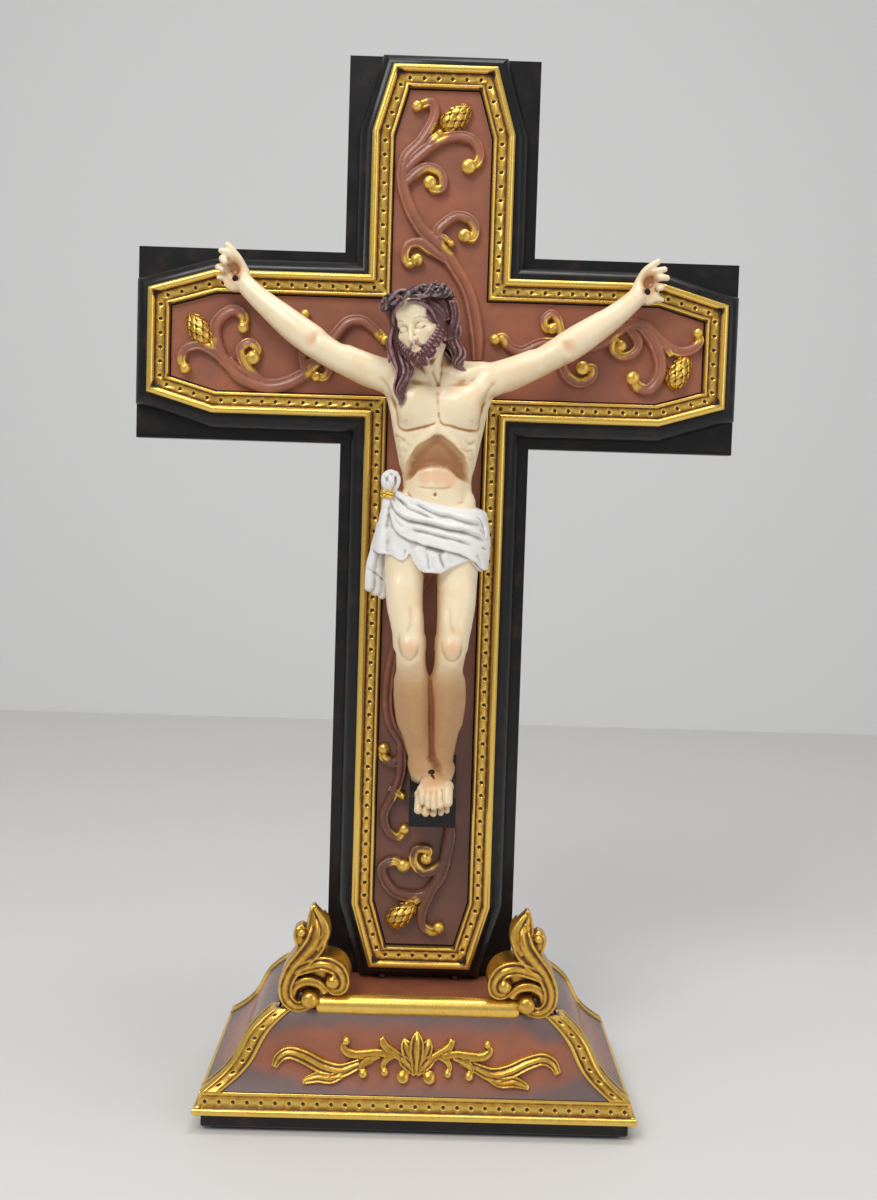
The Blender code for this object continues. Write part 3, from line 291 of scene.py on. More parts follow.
def makeSkin():
    paint = Paint("paintedFlesh")
    relief = paint.marked("relief")
    cloud = paint.noise(12 * mm, 3)["Fac"] - 0.5
    blotch = paint.noise(2.2 * mm, 4)["Fac"] - 0.5
    colour = paint.mix(paint.step(cloud, -0.05, 0.35), skin["light"], skin["warm"])
    colour = paint.mix(paint.step(paint.marked("pink") + cloud * 0.5, 0.15, 1.0) * 0.75, colour, skin["pink"])
    # painted shade: the shadow mark, the hollows of the carving and a little random tone darken the flesh,
    # first to a tan half shade, then to full shade
    wash = paint.marked("shadow") + paint.step(relief, -0.02, -0.75) * 0.75 + blotch * 0.10 + cloud * 0.12
    colour = paint.mix(paint.step(wash, 0.0, 0.52), colour, skin["tan"])
    colour = paint.mix(paint.step(wash, 0.34, 1.0), colour, skin["shade"])
    # painted shade, darkest in the deepest creases
    colour = paint.mix(paint.step(relief, -0.6, -1.0) * 0.8, colour, skin["deep"])
    colour = paint.mix(paint.marked("brow") * 0.85, colour, locks["base"])
    colour = paint.mix(paint.step(paint.marked("blood") + blotch * 0.6, 0.35, 0.62), colour, skin["blood"])
    return paint.finish(Base_Color=colour, Roughness=skin["roughness"] + blotch * 0.15, Coat_Weight=0.2,
                        Normal=paint.bump(blotch, 0.1, 0.08 * mm))


def makeLinen():
    paint = Paint("paintedLinen")
    relief = paint.marked("relief")
    blotch = paint.noise(2.4 * mm, 4)["Fac"] - 0.5
    # painted shade: grey in the folds, darkest in the deepest ones
    colour = paint.mix(paint.step(relief + blotch * 0.3, 0.10, -0.42), linen["white"], linen["fold"])
    colour = paint.mix(paint.step(relief + blotch * 0.2, -0.45, -0.95), colour, linen["deep"])
    grain = paint.noise(0.35 * mm, 2)["Fac"]
    return paint.finish(Base_Color=colour, Roughness=0.52 + blotch * 0.2,
                        Normal=paint.bump(grain + blotch, 0.3, 0.08 * mm))


# hair and thorns: painted shade dark in the grooves, dry-brushed paint and a painted highlight on the ridges
def makeStrands(name, tones, low, high, roughness):
    paint = Paint(name)
    relief = paint.marked("relief")
    blotch = paint.noise(1.5 * mm, 4)["Fac"] - 0.5
    colour = paint.mix(paint.step(relief + blotch * 0.3, -0.6, 0.0), tones["deep"], tones["base"])
    colour = paint.mix(paint.step(relief + blotch * 0.7, low, high), colour, tones["light"])
    return paint.finish(Base_Color=colour, Roughness=roughness + blotch * 0.2, Coat_Weight=0.15,
                        Normal=paint.bump(paint.noise(0.4 * mm, 3)["Fac"], 0.35, 0.08 * mm))


def makeSteel():
    paint = Paint("darkSteel")
    scratch = paint.noise(0.5 * mm, 3, (1.0, 1.0, 0.2))["Fac"]
    colour = paint.mix(paint.step(scratch, 0.3, 0.75), (0.05, 0.045, 0.042), (0.16, 0.15, 0.14))
    return paint.finish(Base_Color=colour, Metallic=0.9, Roughness=0.3 + scratch * 0.25,
                        Normal=paint.bump(scratch, 0.3, 0.05 * mm))


def makeFelt():
    paint = Paint("blackFelt")
    fibre = paint.noise(0.35 * mm, 4)["Fac"]
    colour = paint.mix(fibre, (0.008, 0.008, 0.009), (0.035, 0.035, 0.038))
    return paint.finish(Base_Color=colour, Roughness=0.95, Normal=paint.bump(fibre, 0.8, 0.2 * mm))


def addStage():
    bpy.ops.mesh.primitive_plane_add(size=6, location=(0, 0, 0))
    floor = bpy.context.object
    floor.name = "floor"
    bpy.ops.mesh.primitive_plane_add(size=6, location=(0, 1.2, 1.2), rotation=(math.pi / 2, 0, 0))
    wall = bpy.context.object
    wall.name = "backdrop"
    for piece, colour in ((floor, studio["floorColour"]), (wall, studio["backdropColour"])):
        mat = bpy.data.materials.new(piece.name)
        mat.use_nodes = True
        shader = mat.node_tree.nodes["Principled BSDF"]
        shader.inputs["Base Color"].default_value = (*colour, 1)
        shader.inputs["Roughness"].default_value = 0.8
        piece.data.materials.append(mat)
    world = bpy.data.worlds.new("studio")
    bpy.context.scene.world = world
    world.use_nodes = True
    background = world.node_tree.nodes["Background"]
    background.inputs["Color"].default_value = (1, 1, 1, 1)
    background.inputs["Strength"].default_value = studio["worldLight"]
    for name, (place, size, power) in studio["lamps"].items():
        addLamp(name, place, size, power)
    bpy.context.scene.view_settings.view_transform = "Standard"


addCamera()
addStage()
print("camera, stage and lamps made")


# Modelling helpers

gap = 0.3 * mm


def pick(piece):
    bpy.ops.object.select_all(action="DESELECT")
    piece.select_set(True)
    bpy.context.view_layer.objects.active = piece


# a piece made of points and faces, with its faces turned outwards
def newPiece(name, points, faces):
    mesh = bpy.data.meshes.new(name)
    mesh.from_pydata([tuple(p) for p in points], [], faces)
    piece = bpy.data.objects.new(name, mesh)
    bpy.context.scene.collection.objects.link(piece)
    pick(piece)
    bpy.ops.object.mode_set(mode="EDIT")
    bpy.ops.mesh.select_all(action="SELECT")
    bpy.ops.mesh.normals_make_consistent(inside=False)
    bpy.ops.object.mode_set(mode="OBJECT")
    return piece


def applyModifier(piece, kind, **settings):
    pick(piece)
    modifier = piece.modifiers.new(kind.lower(), kind)
    for key, value in settings.items():
        setattr(modifier, key, value)
    bpy.ops.object.modifier_apply(modifier=modifier.name)


# closed loops of points joined into a skin with a cap at both ends
def loft(loops):
    count = len(loops[0])
    points = [p for loop in loops for p in loop]
    faces = []
    for first in range(0, len(points) - count, count):
        for i in range(count):
            j = (i + 1) % count
            faces.append((first + i, first + j, first + count + j, first + count + i))
    faces.append(tuple(range(count))[::-1])
    faces.append(tuple(range(len(points) - count, len(points))))
    return points, faces


def meshOf(piece):
    count = len(piece.data.vertices)
    places = np.empty(count * 3)
    piece.data.vertices.foreach_get("co", places)
    edges = np.empty(len(piece.data.edges) * 2, np.int64)
    piece.data.edges.foreach_get("vertices", edges)
    return places.reshape(-1, 3), edges.reshape(-1, 2)


def writePlaces(piece, places):
    piece.data.vertices.foreach_set("co", places.ravel())
    piece.data.update()


def normalsOf(piece):
    normals = np.empty(len(piece.data.vertices) * 3)
    piece.data.vertex_normals.foreach_get("vector", normals)
    return normals.reshape(-1, 3)


# each point moves towards the middle of its neighbours, again and again
def relaxed(places, edges, passes, share=0.5):
    a, b = edges[:, 0], edges[:, 1]
    count = len(places)
    degree = np.maximum(np.bincount(a, minlength=count) + np.bincount(b, minlength=count), 1)
    for _ in range(passes):
        middle = np.empty_like(places)
        for k in range(places.shape[1]):
            total = np.bincount(a, places[b, k], count) + np.bincount(b, places[a, k], count)
            middle[:, k] = total / degree
        places = places + (middle - places) * share
    return places


def addMark(piece, name, values):
    mark = piece.data.attributes.new(name, "FLOAT", "POINT")
    mark.data.foreach_set("value", np.asarray(values, np.float32))


# how far each point stands out of (1) or lies under (-1) the smoothed shape
def markRelief(piece, passes=24, depth=0.35 * mm, bias=0.0):
    places, edges = meshOf(piece)
    smooth = relaxed(places, edges, passes)
    height = np.einsum("ij,ij->i", places - smooth, normalsOf(piece))
    addMark(piece, "relief", np.clip(height / depth + bias, -1, 1))


def finishPiece(piece, material, slot, *replaced, angle=40):
    pick(piece)
    piece.data.materials.clear()
    piece.data.materials.append(material)
    if angle >= 180:
        bpy.ops.object.shade_smooth()
    else:
        bpy.ops.object.shade_smooth_by_angle(angle=math.radians(angle))
    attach(piece, "root")
    if replaced:
        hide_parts(*replaced)
    piece.select_set(False)


# Clay: lumps and hollows that melt into one skin. Lengths are millimetres in the figure's own space:
# right, forward from the figure's back, and up from the middle of the cross arms.

figureSpace = {"back": -10.0, "rise": 362.0}


def fromFigure(places):
    places = np.asarray(places, float)
    return np.stack((places[..., 0], figureSpace["back"] - places[..., 1],
                     figureSpace["rise"] + places[..., 2]), -1) * mm


def toFigure(places):
    places = np.asarray(places, float) / mm
    return np.stack((places[..., 0], figureSpace["back"] - places[..., 1],
                     places[..., 2] - figureSpace["rise"]), -1)


def turnMatrix(degrees):
    return np.array(Euler([math.radians(a) for a in degrees]).to_matrix())


# points of any length on a soft curve through the given ones
def softPath(points, steps):
    points = np.asarray(points, float)
    padded = np.vstack((points[0] * 2 - points[1], points, points[-1] * 2 - points[-2]))
    path = []
    for i in range(len(points) - 1):
        a, b, c, d = padded[i:i + 4]
        for k in range(steps):
            t = k / steps
            path.append(0.5 * (2 * b + (c - a) * t + (2 * a - 5 * b + 4 * c - d) * t * t
                               + (3 * b - 3 * c + d - a) * t ** 3))
    path.append(points[-1])
    return np.array(path)


def melted(field, lump, blend, hollow):
    if hollow:
        return -melted(-field, lump, blend, False)
    soft = np.maximum(blend - np.abs(field - lump), 0)
    return np.minimum(field, lump) - soft * soft / (4 * blend)


class Clay:
    def __init__(self):
        self.lumps = []
        self.inFrame(np.eye(3), (0, 0, 0))

    # later lumps are given in a frame of their own, such as the head's
    def inFrame(self, turn, middle, size=1.0):
        self.frame = np.array(turn), np.array(middle, float), size

    def put(self, measure, places, thick, blend, hollow):
        turn, middle, size = self.frame
        placed = np.asarray(places, float) @ turn.T * size + middle
        reach = thick * size + blend + 2.0

        def measureHere(p):
            return measure((p - middle) @ turn / size) * size

        self.lumps.append((measureHere, placed.min(0) - reach, placed.max(0) + reach, blend, hollow))

    # stations hold right, forward, up and radius; flat squeezes the section along each direction
    def chain(self, stations, blend=2.0, steps=3, flat=(1, 1, 1), hollow=False):
        path = softPath(stations, steps) if len(stations) > 2 else np.asarray(stations, float)
        flat = np.asarray(flat, float)
        places, radii = path[:, :3] / flat, path[:, 3]

        def measure(p):
            q = p / flat
            best = np.full(p.shape[:-1], 99.0)
            for a, b, ra, rb in zip(places, places[1:], radii, radii[1:]):
                along = b - a
                t = np.clip((q - a) @ along / max(along @ along, 1e-9), 0, 1)
                away = q - a - t[..., None] * along
                best = np.minimum(best, np.sqrt((away * away).sum(-1)) - ra - (rb - ra) * t)
            return best

        self.put(measure, path[:, :3], radii.max() * flat.max(), blend, hollow)

    def egg(self, centre, half, blend=2.0, turn=(0, 0, 0), hollow=False):
        centre, half = np.asarray(centre, float), np.asarray(half, float)
        spin = turnMatrix(turn)

        def measure(p):
            q = (p - centre) @ spin / half
            near = np.sqrt((q * q).sum(-1))
            slope = np.sqrt((q * q / half ** 2).sum(-1))
            return near * (near - 1) / np.maximum(slope, 1e-6)

        self.put(measure, [centre], half.max(), blend, hollow)

    def depthAt(self, places):
        field = np.full(len(places), 6.0)
        for measure, low, high, blend, hollow in self.lumps:
            near = np.flatnonzero(np.all((places > low) & (places < high), axis=1))
            if len(near):
                field[near] = melted(field[near], measure(places[near]), blend, hollow)
        return field

    # moves points onto the skin
    def settled(self, places, passes=2, nudge=0.05, most=0.5):
        for _ in range(passes):
            depth = self.depthAt(places)
            slope = np.empty_like(places)
            for k in range(3):
                side = np.zeros(3)
                side[k] = nudge
                slope[:, k] = (self.depthAt(places + side) - self.depthAt(places - side)) / (2 * nudge)
            steep = np.maximum((slope * slope).sum(1), 0.05)
            move = np.clip(depth / steep, -most, most)
            places = places - slope * move[:, None]
        return places

    # points in the figure's space and faces of the skin
    def surface(self, step):
        low = np.min([lump[1] for lump in self.lumps], axis=0)
        high = np.max([lump[2] for lump in self.lumps], axis=0)
        axes = [np.arange(low[k], high[k] + step, step) for k in range(3)]
        field = np.full([len(axis) for axis in axes], 6.0, np.float32)
        for measure, near, far, blend, hollow in self.lumps:
            part = tuple(slice(*np.searchsorted(axes[k], (near[k], far[k]))) for k in range(3))
            places = np.stack(np.meshgrid(*[axes[k][part[k]] for k in range(3)], indexing="ij"), -1)
            field[part] = melted(field[part], measure(places), blend, hollow)
        grid = openvdb.FloatGrid(background=3 * step)
        grid.copyFromArray(np.clip(field, -3 * step, 3 * step))
        points, triangles, quads = grid.convertToPolygons(0.0)
        faces = [tuple(face) for face in quads.tolist()] + [tuple(face) for face in triangles.tolist()]
        return self.settled(points * step + low, 1), faces

    def skin(self, name, step):
        points, faces = self.surface(step)
        return newPiece(name, fromFigure(points), faces)


# splits the faces whose middle is inside the test into four and settles the new points on the clay
def refine(piece, clay, test):
    mesh = bmesh.new()
    mesh.from_mesh(piece.data)
    middles = toFigure(np.array([face.calc_center_median() for face in mesh.faces]))
    chosen = [face for face, inside in zip(mesh.faces, test(middles)) if inside]
    edges = list({edge for face in chosen for edge in face.edges})
    bmesh.ops.subdivide_edges(mesh, edges=edges, cuts=1, use_grid_fill=True)
    bmesh.ops.triangulate(mesh, faces=[face for face in mesh.faces if len(face.verts) > 4])
    mesh.to_mesh(piece.data)
    mesh.free()
    places = toFigure(meshOf(piece)[0])
    near = np.flatnonzero(test(places))
    places[near] = clay.settled(places[near])
    writePlaces(piece, fromFigure(places))


# distance of points from a line of points, all in two or three dimensions
def awayFrom(points, line):
    best = np.full(len(points), 1e9)
    share = np.zeros(len(points))
    line = np.asarray(line, float)
    for k, (a, b) in enumerate(zip(line, line[1:])):
        along = b - a
        t = np.clip((points - a) @ along / (along @ along), 0, 1)
        away = points - a - t[:, None] * along
        far = np.sqrt((away * away).sum(1))
        share = np.where(far < best, (k + t) / (len(line) - 1), share)
        best = np.minimum(best, far)
    return best, share


# pleats seen from the front: each line has a lip above it, drops sharply and rises slowly below
def pleatFront(piece, pleats, facing):
    places, normals = toFigure(meshOf(piece)[0]), normalsOf(piece)
    front = np.clip((-normals[:, 1] - facing) * 3, 0, 1)
    push = np.zeros(len(places))
    for line, lip, groove, wide in pleats:
        path = softPath(line, 5)
        far, share = awayFrom(places[:, (0, 2)], path)
        above = places[:, 2] - np.interp(places[:, 0], path[:, 0], path[:, 1])
        fade = np.clip(np.minimum(share, 1 - share) * 5 + 0.1, 0, 1)
        raised = lip * np.exp(-((far - wide * 0.8) / wide) ** 2)
        sunk = -groove * np.exp(-(far / wide) ** 2)
        soft = np.clip(above / 0.5, -1, 1) * 0.5 + 0.5
        push += fade * (raised * soft + sunk * (1 - soft))
    writePlaces(piece, fromFigure(places) + normals * (push * front * mm)[:, None])


# strokes of a modelling tool on the front of the figure: (line of right and up, width, height); a
# negative height presses a groove, and each stroke fades at its two ends
def strokeFront(piece, strokes, facing=0.15):
    places, normals = toFigure(meshOf(piece)[0]), normalsOf(piece)
    front = np.clip((-normals[:, 1] - facing) * 3, 0, 1)
    push = np.zeros(len(places))
    for line, width, height in strokes:
        path = softPath(line, 4) if len(line) > 2 else np.asarray(line, float)
        far, share = awayFrom(places[:, (0, 2)], path)
        fade = np.clip(np.minimum(share, 1 - share) * 6 + 0.15, 0, 1)
        push += height * fade * np.exp(-(far / width) ** 2)
    writePlaces(piece, fromFigure(places) + normals * (push * front * mm)[:, None])


# Cross: lacquered body, gilt mouldings with punched pits

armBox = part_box("gilt_moulding_left")
crossSizes = {
    "armZ": (armBox[0].z + armBox[1].z) / 2,
    "halfWidth": (armBox[1].z - armBox[0].z) / 2,
    "endX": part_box("gilt_moulding_right")[1].x,
    "topZ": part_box("gilt_moulding_top")[1].z,
    "footZ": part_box("gilt_moulding_bottom")[0].z,
    "endHalf": 24.5 * mm,
    "taper": 31 * mm,
    "bevelWide": 7.0 * mm,
    "bevelShelf": 0.9 * mm,
    "bevelSteps": 16,
    "giltWide": 10.3 * mm,
    "backY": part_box("cross_body")[1].y,
    "frontY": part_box("cross_body")[0].y,
    "pocketY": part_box("cross_panel")[1].y,
}
punched = {"pitch": 6.2 * mm, "radius": 1.0 * mm, "depth": 0.95 * mm}
pitRows = (-1.5, -1.0, -0.72, -0.38, 0, 0.38, 0.72, 1.0, 1.5)      # cross-sections at a pit, in radii


def coffinCross():
    w, e, s = crossSizes["halfWidth"], crossSizes["endHalf"], crossSizes["taper"]
    c, t, f, x = crossSizes["armZ"], crossSizes["topZ"], crossSizes["footZ"], crossSizes["endX"]
    return [
        (w, c + w), (w, t - s), (e, t), (-e, t), (-w, t - s), (-w, c + w),
        (s - x, c + w), (-x, c + e), (-x, c - e), (s - x, c - w), (-w, c - w),
        (-w, f + s), (-e, f), (e, f), (w, f + s), (w, c - w),
        (x - s, c - w), (x, c - e), (x, c + e), (x - s, c + w),
    ]


def insetOutline(outline, distance):
    moved = []
    for i in range(len(outline)):
        before, here, after = (Vector(outline[k % len(outline)]) for k in (i - 1, i, i + 1))
        n1 = Vector((before.y - here.y, here.x - before.x)).normalized()
        n2 = Vector((here.y - after.y, after.x - here.x)).normalized()
        moved.append(here + (n1 + n2) * (distance / (1 + n1.dot(n2))))
    return moved


def arc(centre, radius, start, end, steps):
    angles = [math.radians(start + (end - start) * k / steps) for k in range(steps + 1)]
    return [(centre[0] + radius * math.cos(a), centre[1] + radius * math.sin(a)) for a in angles]


# straight stretch with extra points where the pits' rim and bottom lie
def pittedStretch(start, end, radius):
    middle, run = (Vector(start) + Vector(end)) / 2, Vector(end) - Vector(start)
    return [tuple(middle + run.normalized() * r * radius) for r in pitRows]


# A profile of (distance in, height) points swept along some edges of an outline, with mitred corners.
# space turns (point of the outline, height) into a place; pits are pressed in along the middle of pitAt.
def sweepMoulding(name, outline, firstEdge, edgeCount, profile, space, pitAt):
    outlines = [insetOutline(outline, d) for d, _ in profile]
    mid = profile.index(pitAt)
    ahead = Vector(profile[mid + 1]) - Vector(profile[mid - 1])
    sunk = Vector((ahead.y, -ahead.x)).normalized()
    count = len(outline)
    loops = []
    for edge in range(firstEdge, firstEdge + edgeCount):
        start, end = outlines[mid][edge % count], outlines[mid][(edge + 1) % count]
        length = (end - start).length
        pits = max(1, round((length - punched["pitch"] * 0.5) / punched["pitch"]))
        centres = [length * (k + 0.5) / pits for k in range(pits)]
        rows = {(c + r * punched["radius"]) / length for c in centres for r in pitRows}
        stations = sorted({0.0, 1.0} | rows)
        if edge > firstEdge:
            stations = stations[1:]
        for t in stations:
            loop = []
            for k, (d, h) in enumerate(profile):
                a, b = outlines[k][edge % count], outlines[k][(edge + 1) % count]
                here = a.lerp(b, t)
                along = (here - start).dot((end - start).normalized())
                across = (Vector(profile[k]) - Vector(profile[mid])).length
                near = min(math.hypot(along - c, across) for c in centres) / punched["radius"]
                press = punched["depth"] * max(0.0, 1 - near ** 3) if near < 1 else 0.0
                push = sunk * press
                inward = (b - a).normalized()
                here = here + Vector((-inward.y, inward.x)) * push.x
                loop.append(space(here, h + push.y))
            loops.append(loop)
    return newPiece(name, *loft(loops))


def addCrossBody():
    s = crossSizes
    edge = coffinCross()
    thick = s["backY"] - s["frontY"]
    rings = []
    for k in range(s["bevelSteps"] + 1):
        angle = math.pi / 2 * k / s["bevelSteps"]
        out = s["bevelShelf"] + (s["bevelWide"] - s["bevelShelf"]) * math.cos(angle)
        rings.append((out, s["backY"] - thick * math.sin(angle)))
    rings = [(s["bevelWide"], s["backY"])] + rings[1:]
    rings += [(-s["giltWide"] - gap, s["frontY"]), (-s["giltWide"] - gap, s["pocketY"])]
    loops = [[Vector((p.x, y, p.y)) for p in insetOutline(edge, -out)] for out, y in rings]
    body = newPiece("crossBody", *loft(loops))
    applyModifier(body, "BEVEL", width=0.35 * mm, segments=2, limit_method="ANGLE",
                  angle_limit=math.radians(38))
    finishPiece(body, paints["lacquer"], "black_lacquer", "cross_body", angle=30)


def addGiltMouldings():
    s = crossSizes
    outer = [(0, 0), (0, 1.6)] + arc((1.75, 3.05), 1.75, 178, -20, 12) + [(3.62, 2.42)]
    band = pittedStretch((3.8, 2.42), (8.3, 2.12), punched["radius"] / mm)
    inner = [(8.15, 2.12)] + arc((9.25, 1.95), 0.85, 165, -10, 8) + [(10.2, 0.9), (10.2, 0)]
    profile = [(d * mm, h * mm) for d, h in outer + band + inner]
    pitAt = profile[len(outer) + len(pitRows) // 2]

    def onCross(point, height):
        return Vector((point.x, s["frontY"] - height, point.y))

    for name, first in (("top", 0), ("left", 5), ("bottom", 10), ("right", 15)):
        piece = sweepMoulding("giltMoulding." + name, coffinCross(), first, 5, profile, onCross, pitAt)
        markRelief(piece, passes=14, depth=0.30 * mm, bias=0.02)
        finishPiece(piece, paints["gold"], "antique_gilt", "gilt_moulding_" + name, angle=50)


def paintNodes():
    finishes = {
        "lacquer": ("backing_board", "plinth_core", "plinth_foot", "footrest"),
        "glaze": ("cross_panel", "plinth_top"),
        "steel": ("fixing_screw_left", "fixing_screw_right", "mounting_pin_upper", "mounting_pin_lower"),
        "felt": ("felt_pad",),
        "iron": ("nail_hand_left", "nail_hand_right", "nail_feet"),
    }
    for finish, names in finishes.items():
        for name in names:
            node = nodes[name]
            node.data.materials.clear()
            node.data.materials.append(paints[finish])


paints = {
    "gold": makeGold(),
    "glaze": makeGlaze("redBrownGlaze", False),
    "vine": makeGlaze("gildedGlaze", True),
    "lacquer": makeLacquer(),
    "skin": makeSkin(),
    "linen": makeLinen(),
    "hair": makeStrands("paintedHair", locks, 0.18, 0.85, 0.42),
    "thorn": makeStrands("paintedThorns", thorns, 0.2, 0.8, 0.5),
    "steel": makeSteel(),
    "felt": makeFelt(),
    "iron": Paint("blackIron").finish(Base_Color=(0.018, 0.015, 0.014), Metallic=0.6, Roughness=0.42),
}
paintNodes()
print("materials made")
addCrossBody()
addGiltMouldings()
print("cross body and gilt mouldings made")


# Scrollwork: ribbons with a carved cross-section, ending in round buttons

# across from edge to edge, drop below the crest in ribbon widths
sections = {
    "stem": [
        (-1.0, 0.48), (-0.95, 0.30), (-0.84, 0.16), (-0.66, 0.06), (-0.44, 0.005), (-0.22, 0.0), (0.0, 0.02),
        (0.20, 0.06), (0.34, 0.13), (0.46, 0.10), (0.60, 0.05), (0.76, 0.09), (0.92, 0.25), (1.0, 0.48),
    ],
    "leaf": [
        (-1.0, 0.34), (-0.94, 0.14), (-0.84, 0.04), (-0.74, 0.05), (-0.60, 0.13), (-0.42, 0.11),
        (-0.26, 0.03), (-0.08, 0.0), (0.10, 0.02), (0.28, 0.09), (0.48, 0.15), (0.66, 0.09),
        (0.80, 0.02), (0.92, 0.09), (1.0, 0.34),
    ],
    "plain": [
        (-1.0, 0.40), (-0.92, 0.20), (-0.76, 0.08), (-0.5, 0.02), (0.0, 0.0), (0.5, 0.02), (0.76, 0.08),
        (0.92, 0.20), (1.0, 0.40),
    ],
}


# points hold right, up and width, all in millimetres; place turns (right, up, height) into a place
def ribbon(points, height, place, steps, button, section):
    path = softPath(points, steps)
    ahead = np.gradient(path[:, :2], axis=0)
    ahead /= np.sqrt((ahead * ahead).sum(1))[:, None]
    loops = []
    for (x, z, wide), (ax, az) in zip(path, ahead):
        top = height * min(1.0, 0.55 + 0.45 * wide / path[:, 2].max())
        rim = [(u, max(top - drop * wide, 0.08 * top)) for u, drop in sections[section]]
        loops.append([place(x - az * u * wide / 2, z + ax * u * wide / 2, h)
                      for u, h in [(-1.0, 0.0)] + rim + [(1.0, 0.0)]])
    skins = [loft(loops)]
    if button:
        skins.append(ball(path[-1, 0], path[-1, 1], button, -0.2 * height, height * 1.2, place, 1.12))
    return skins


# an upright button between two heights, with a rounded head
def ball(x, z, radius, low, high, place, square):
    rings = []
    for k in range(1, 12):
        a = math.pi * k / 12
        r = radius * min(1.0, math.sin(a) * square)
        h = (low + high) / 2 - (high - low) / 2 * math.cos(a)
        rings.append([place(x + r * math.cos(b), z + r * math.sin(b), h)
                      for b in np.linspace(0, 2 * math.pi, 22, endpoint=False)])
    return loft(rings)


def joinedSkins(name, skins):
    points, faces = [], []
    for somePoints, someFaces in skins:
        faces += [tuple(i + len(points) for i in face) for face in someFaces]
        points += list(somePoints)
    return newPiece(name, points, faces)


def meltTogether(piece, voxel, rounds, share=0.5):
    applyModifier(piece, "REMESH", mode="VOXEL", voxel_size=voxel)
    applyModifier(piece, "SMOOTH", factor=share, iterations=rounds)


vineSizes = {
    "height": 4.0,
    "voxel": 0.32 * mm,
    "backY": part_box("vine_top")[1].y,
    "stem": 1.16,
    "button": 0.98,
    "gildNear": 0.6 * mm,
    "gildFar": 6.0 * mm,
}
vineAnchors = {
    "top": (0, crossSizes["topZ"], 1),
    "left": (-crossSizes["endX"], crossSizes["armZ"], 1),
    "right": (crossSizes["endX"], crossSizes["armZ"], -1),
    "foot": (0, crossSizes["footZ"], 1),
}
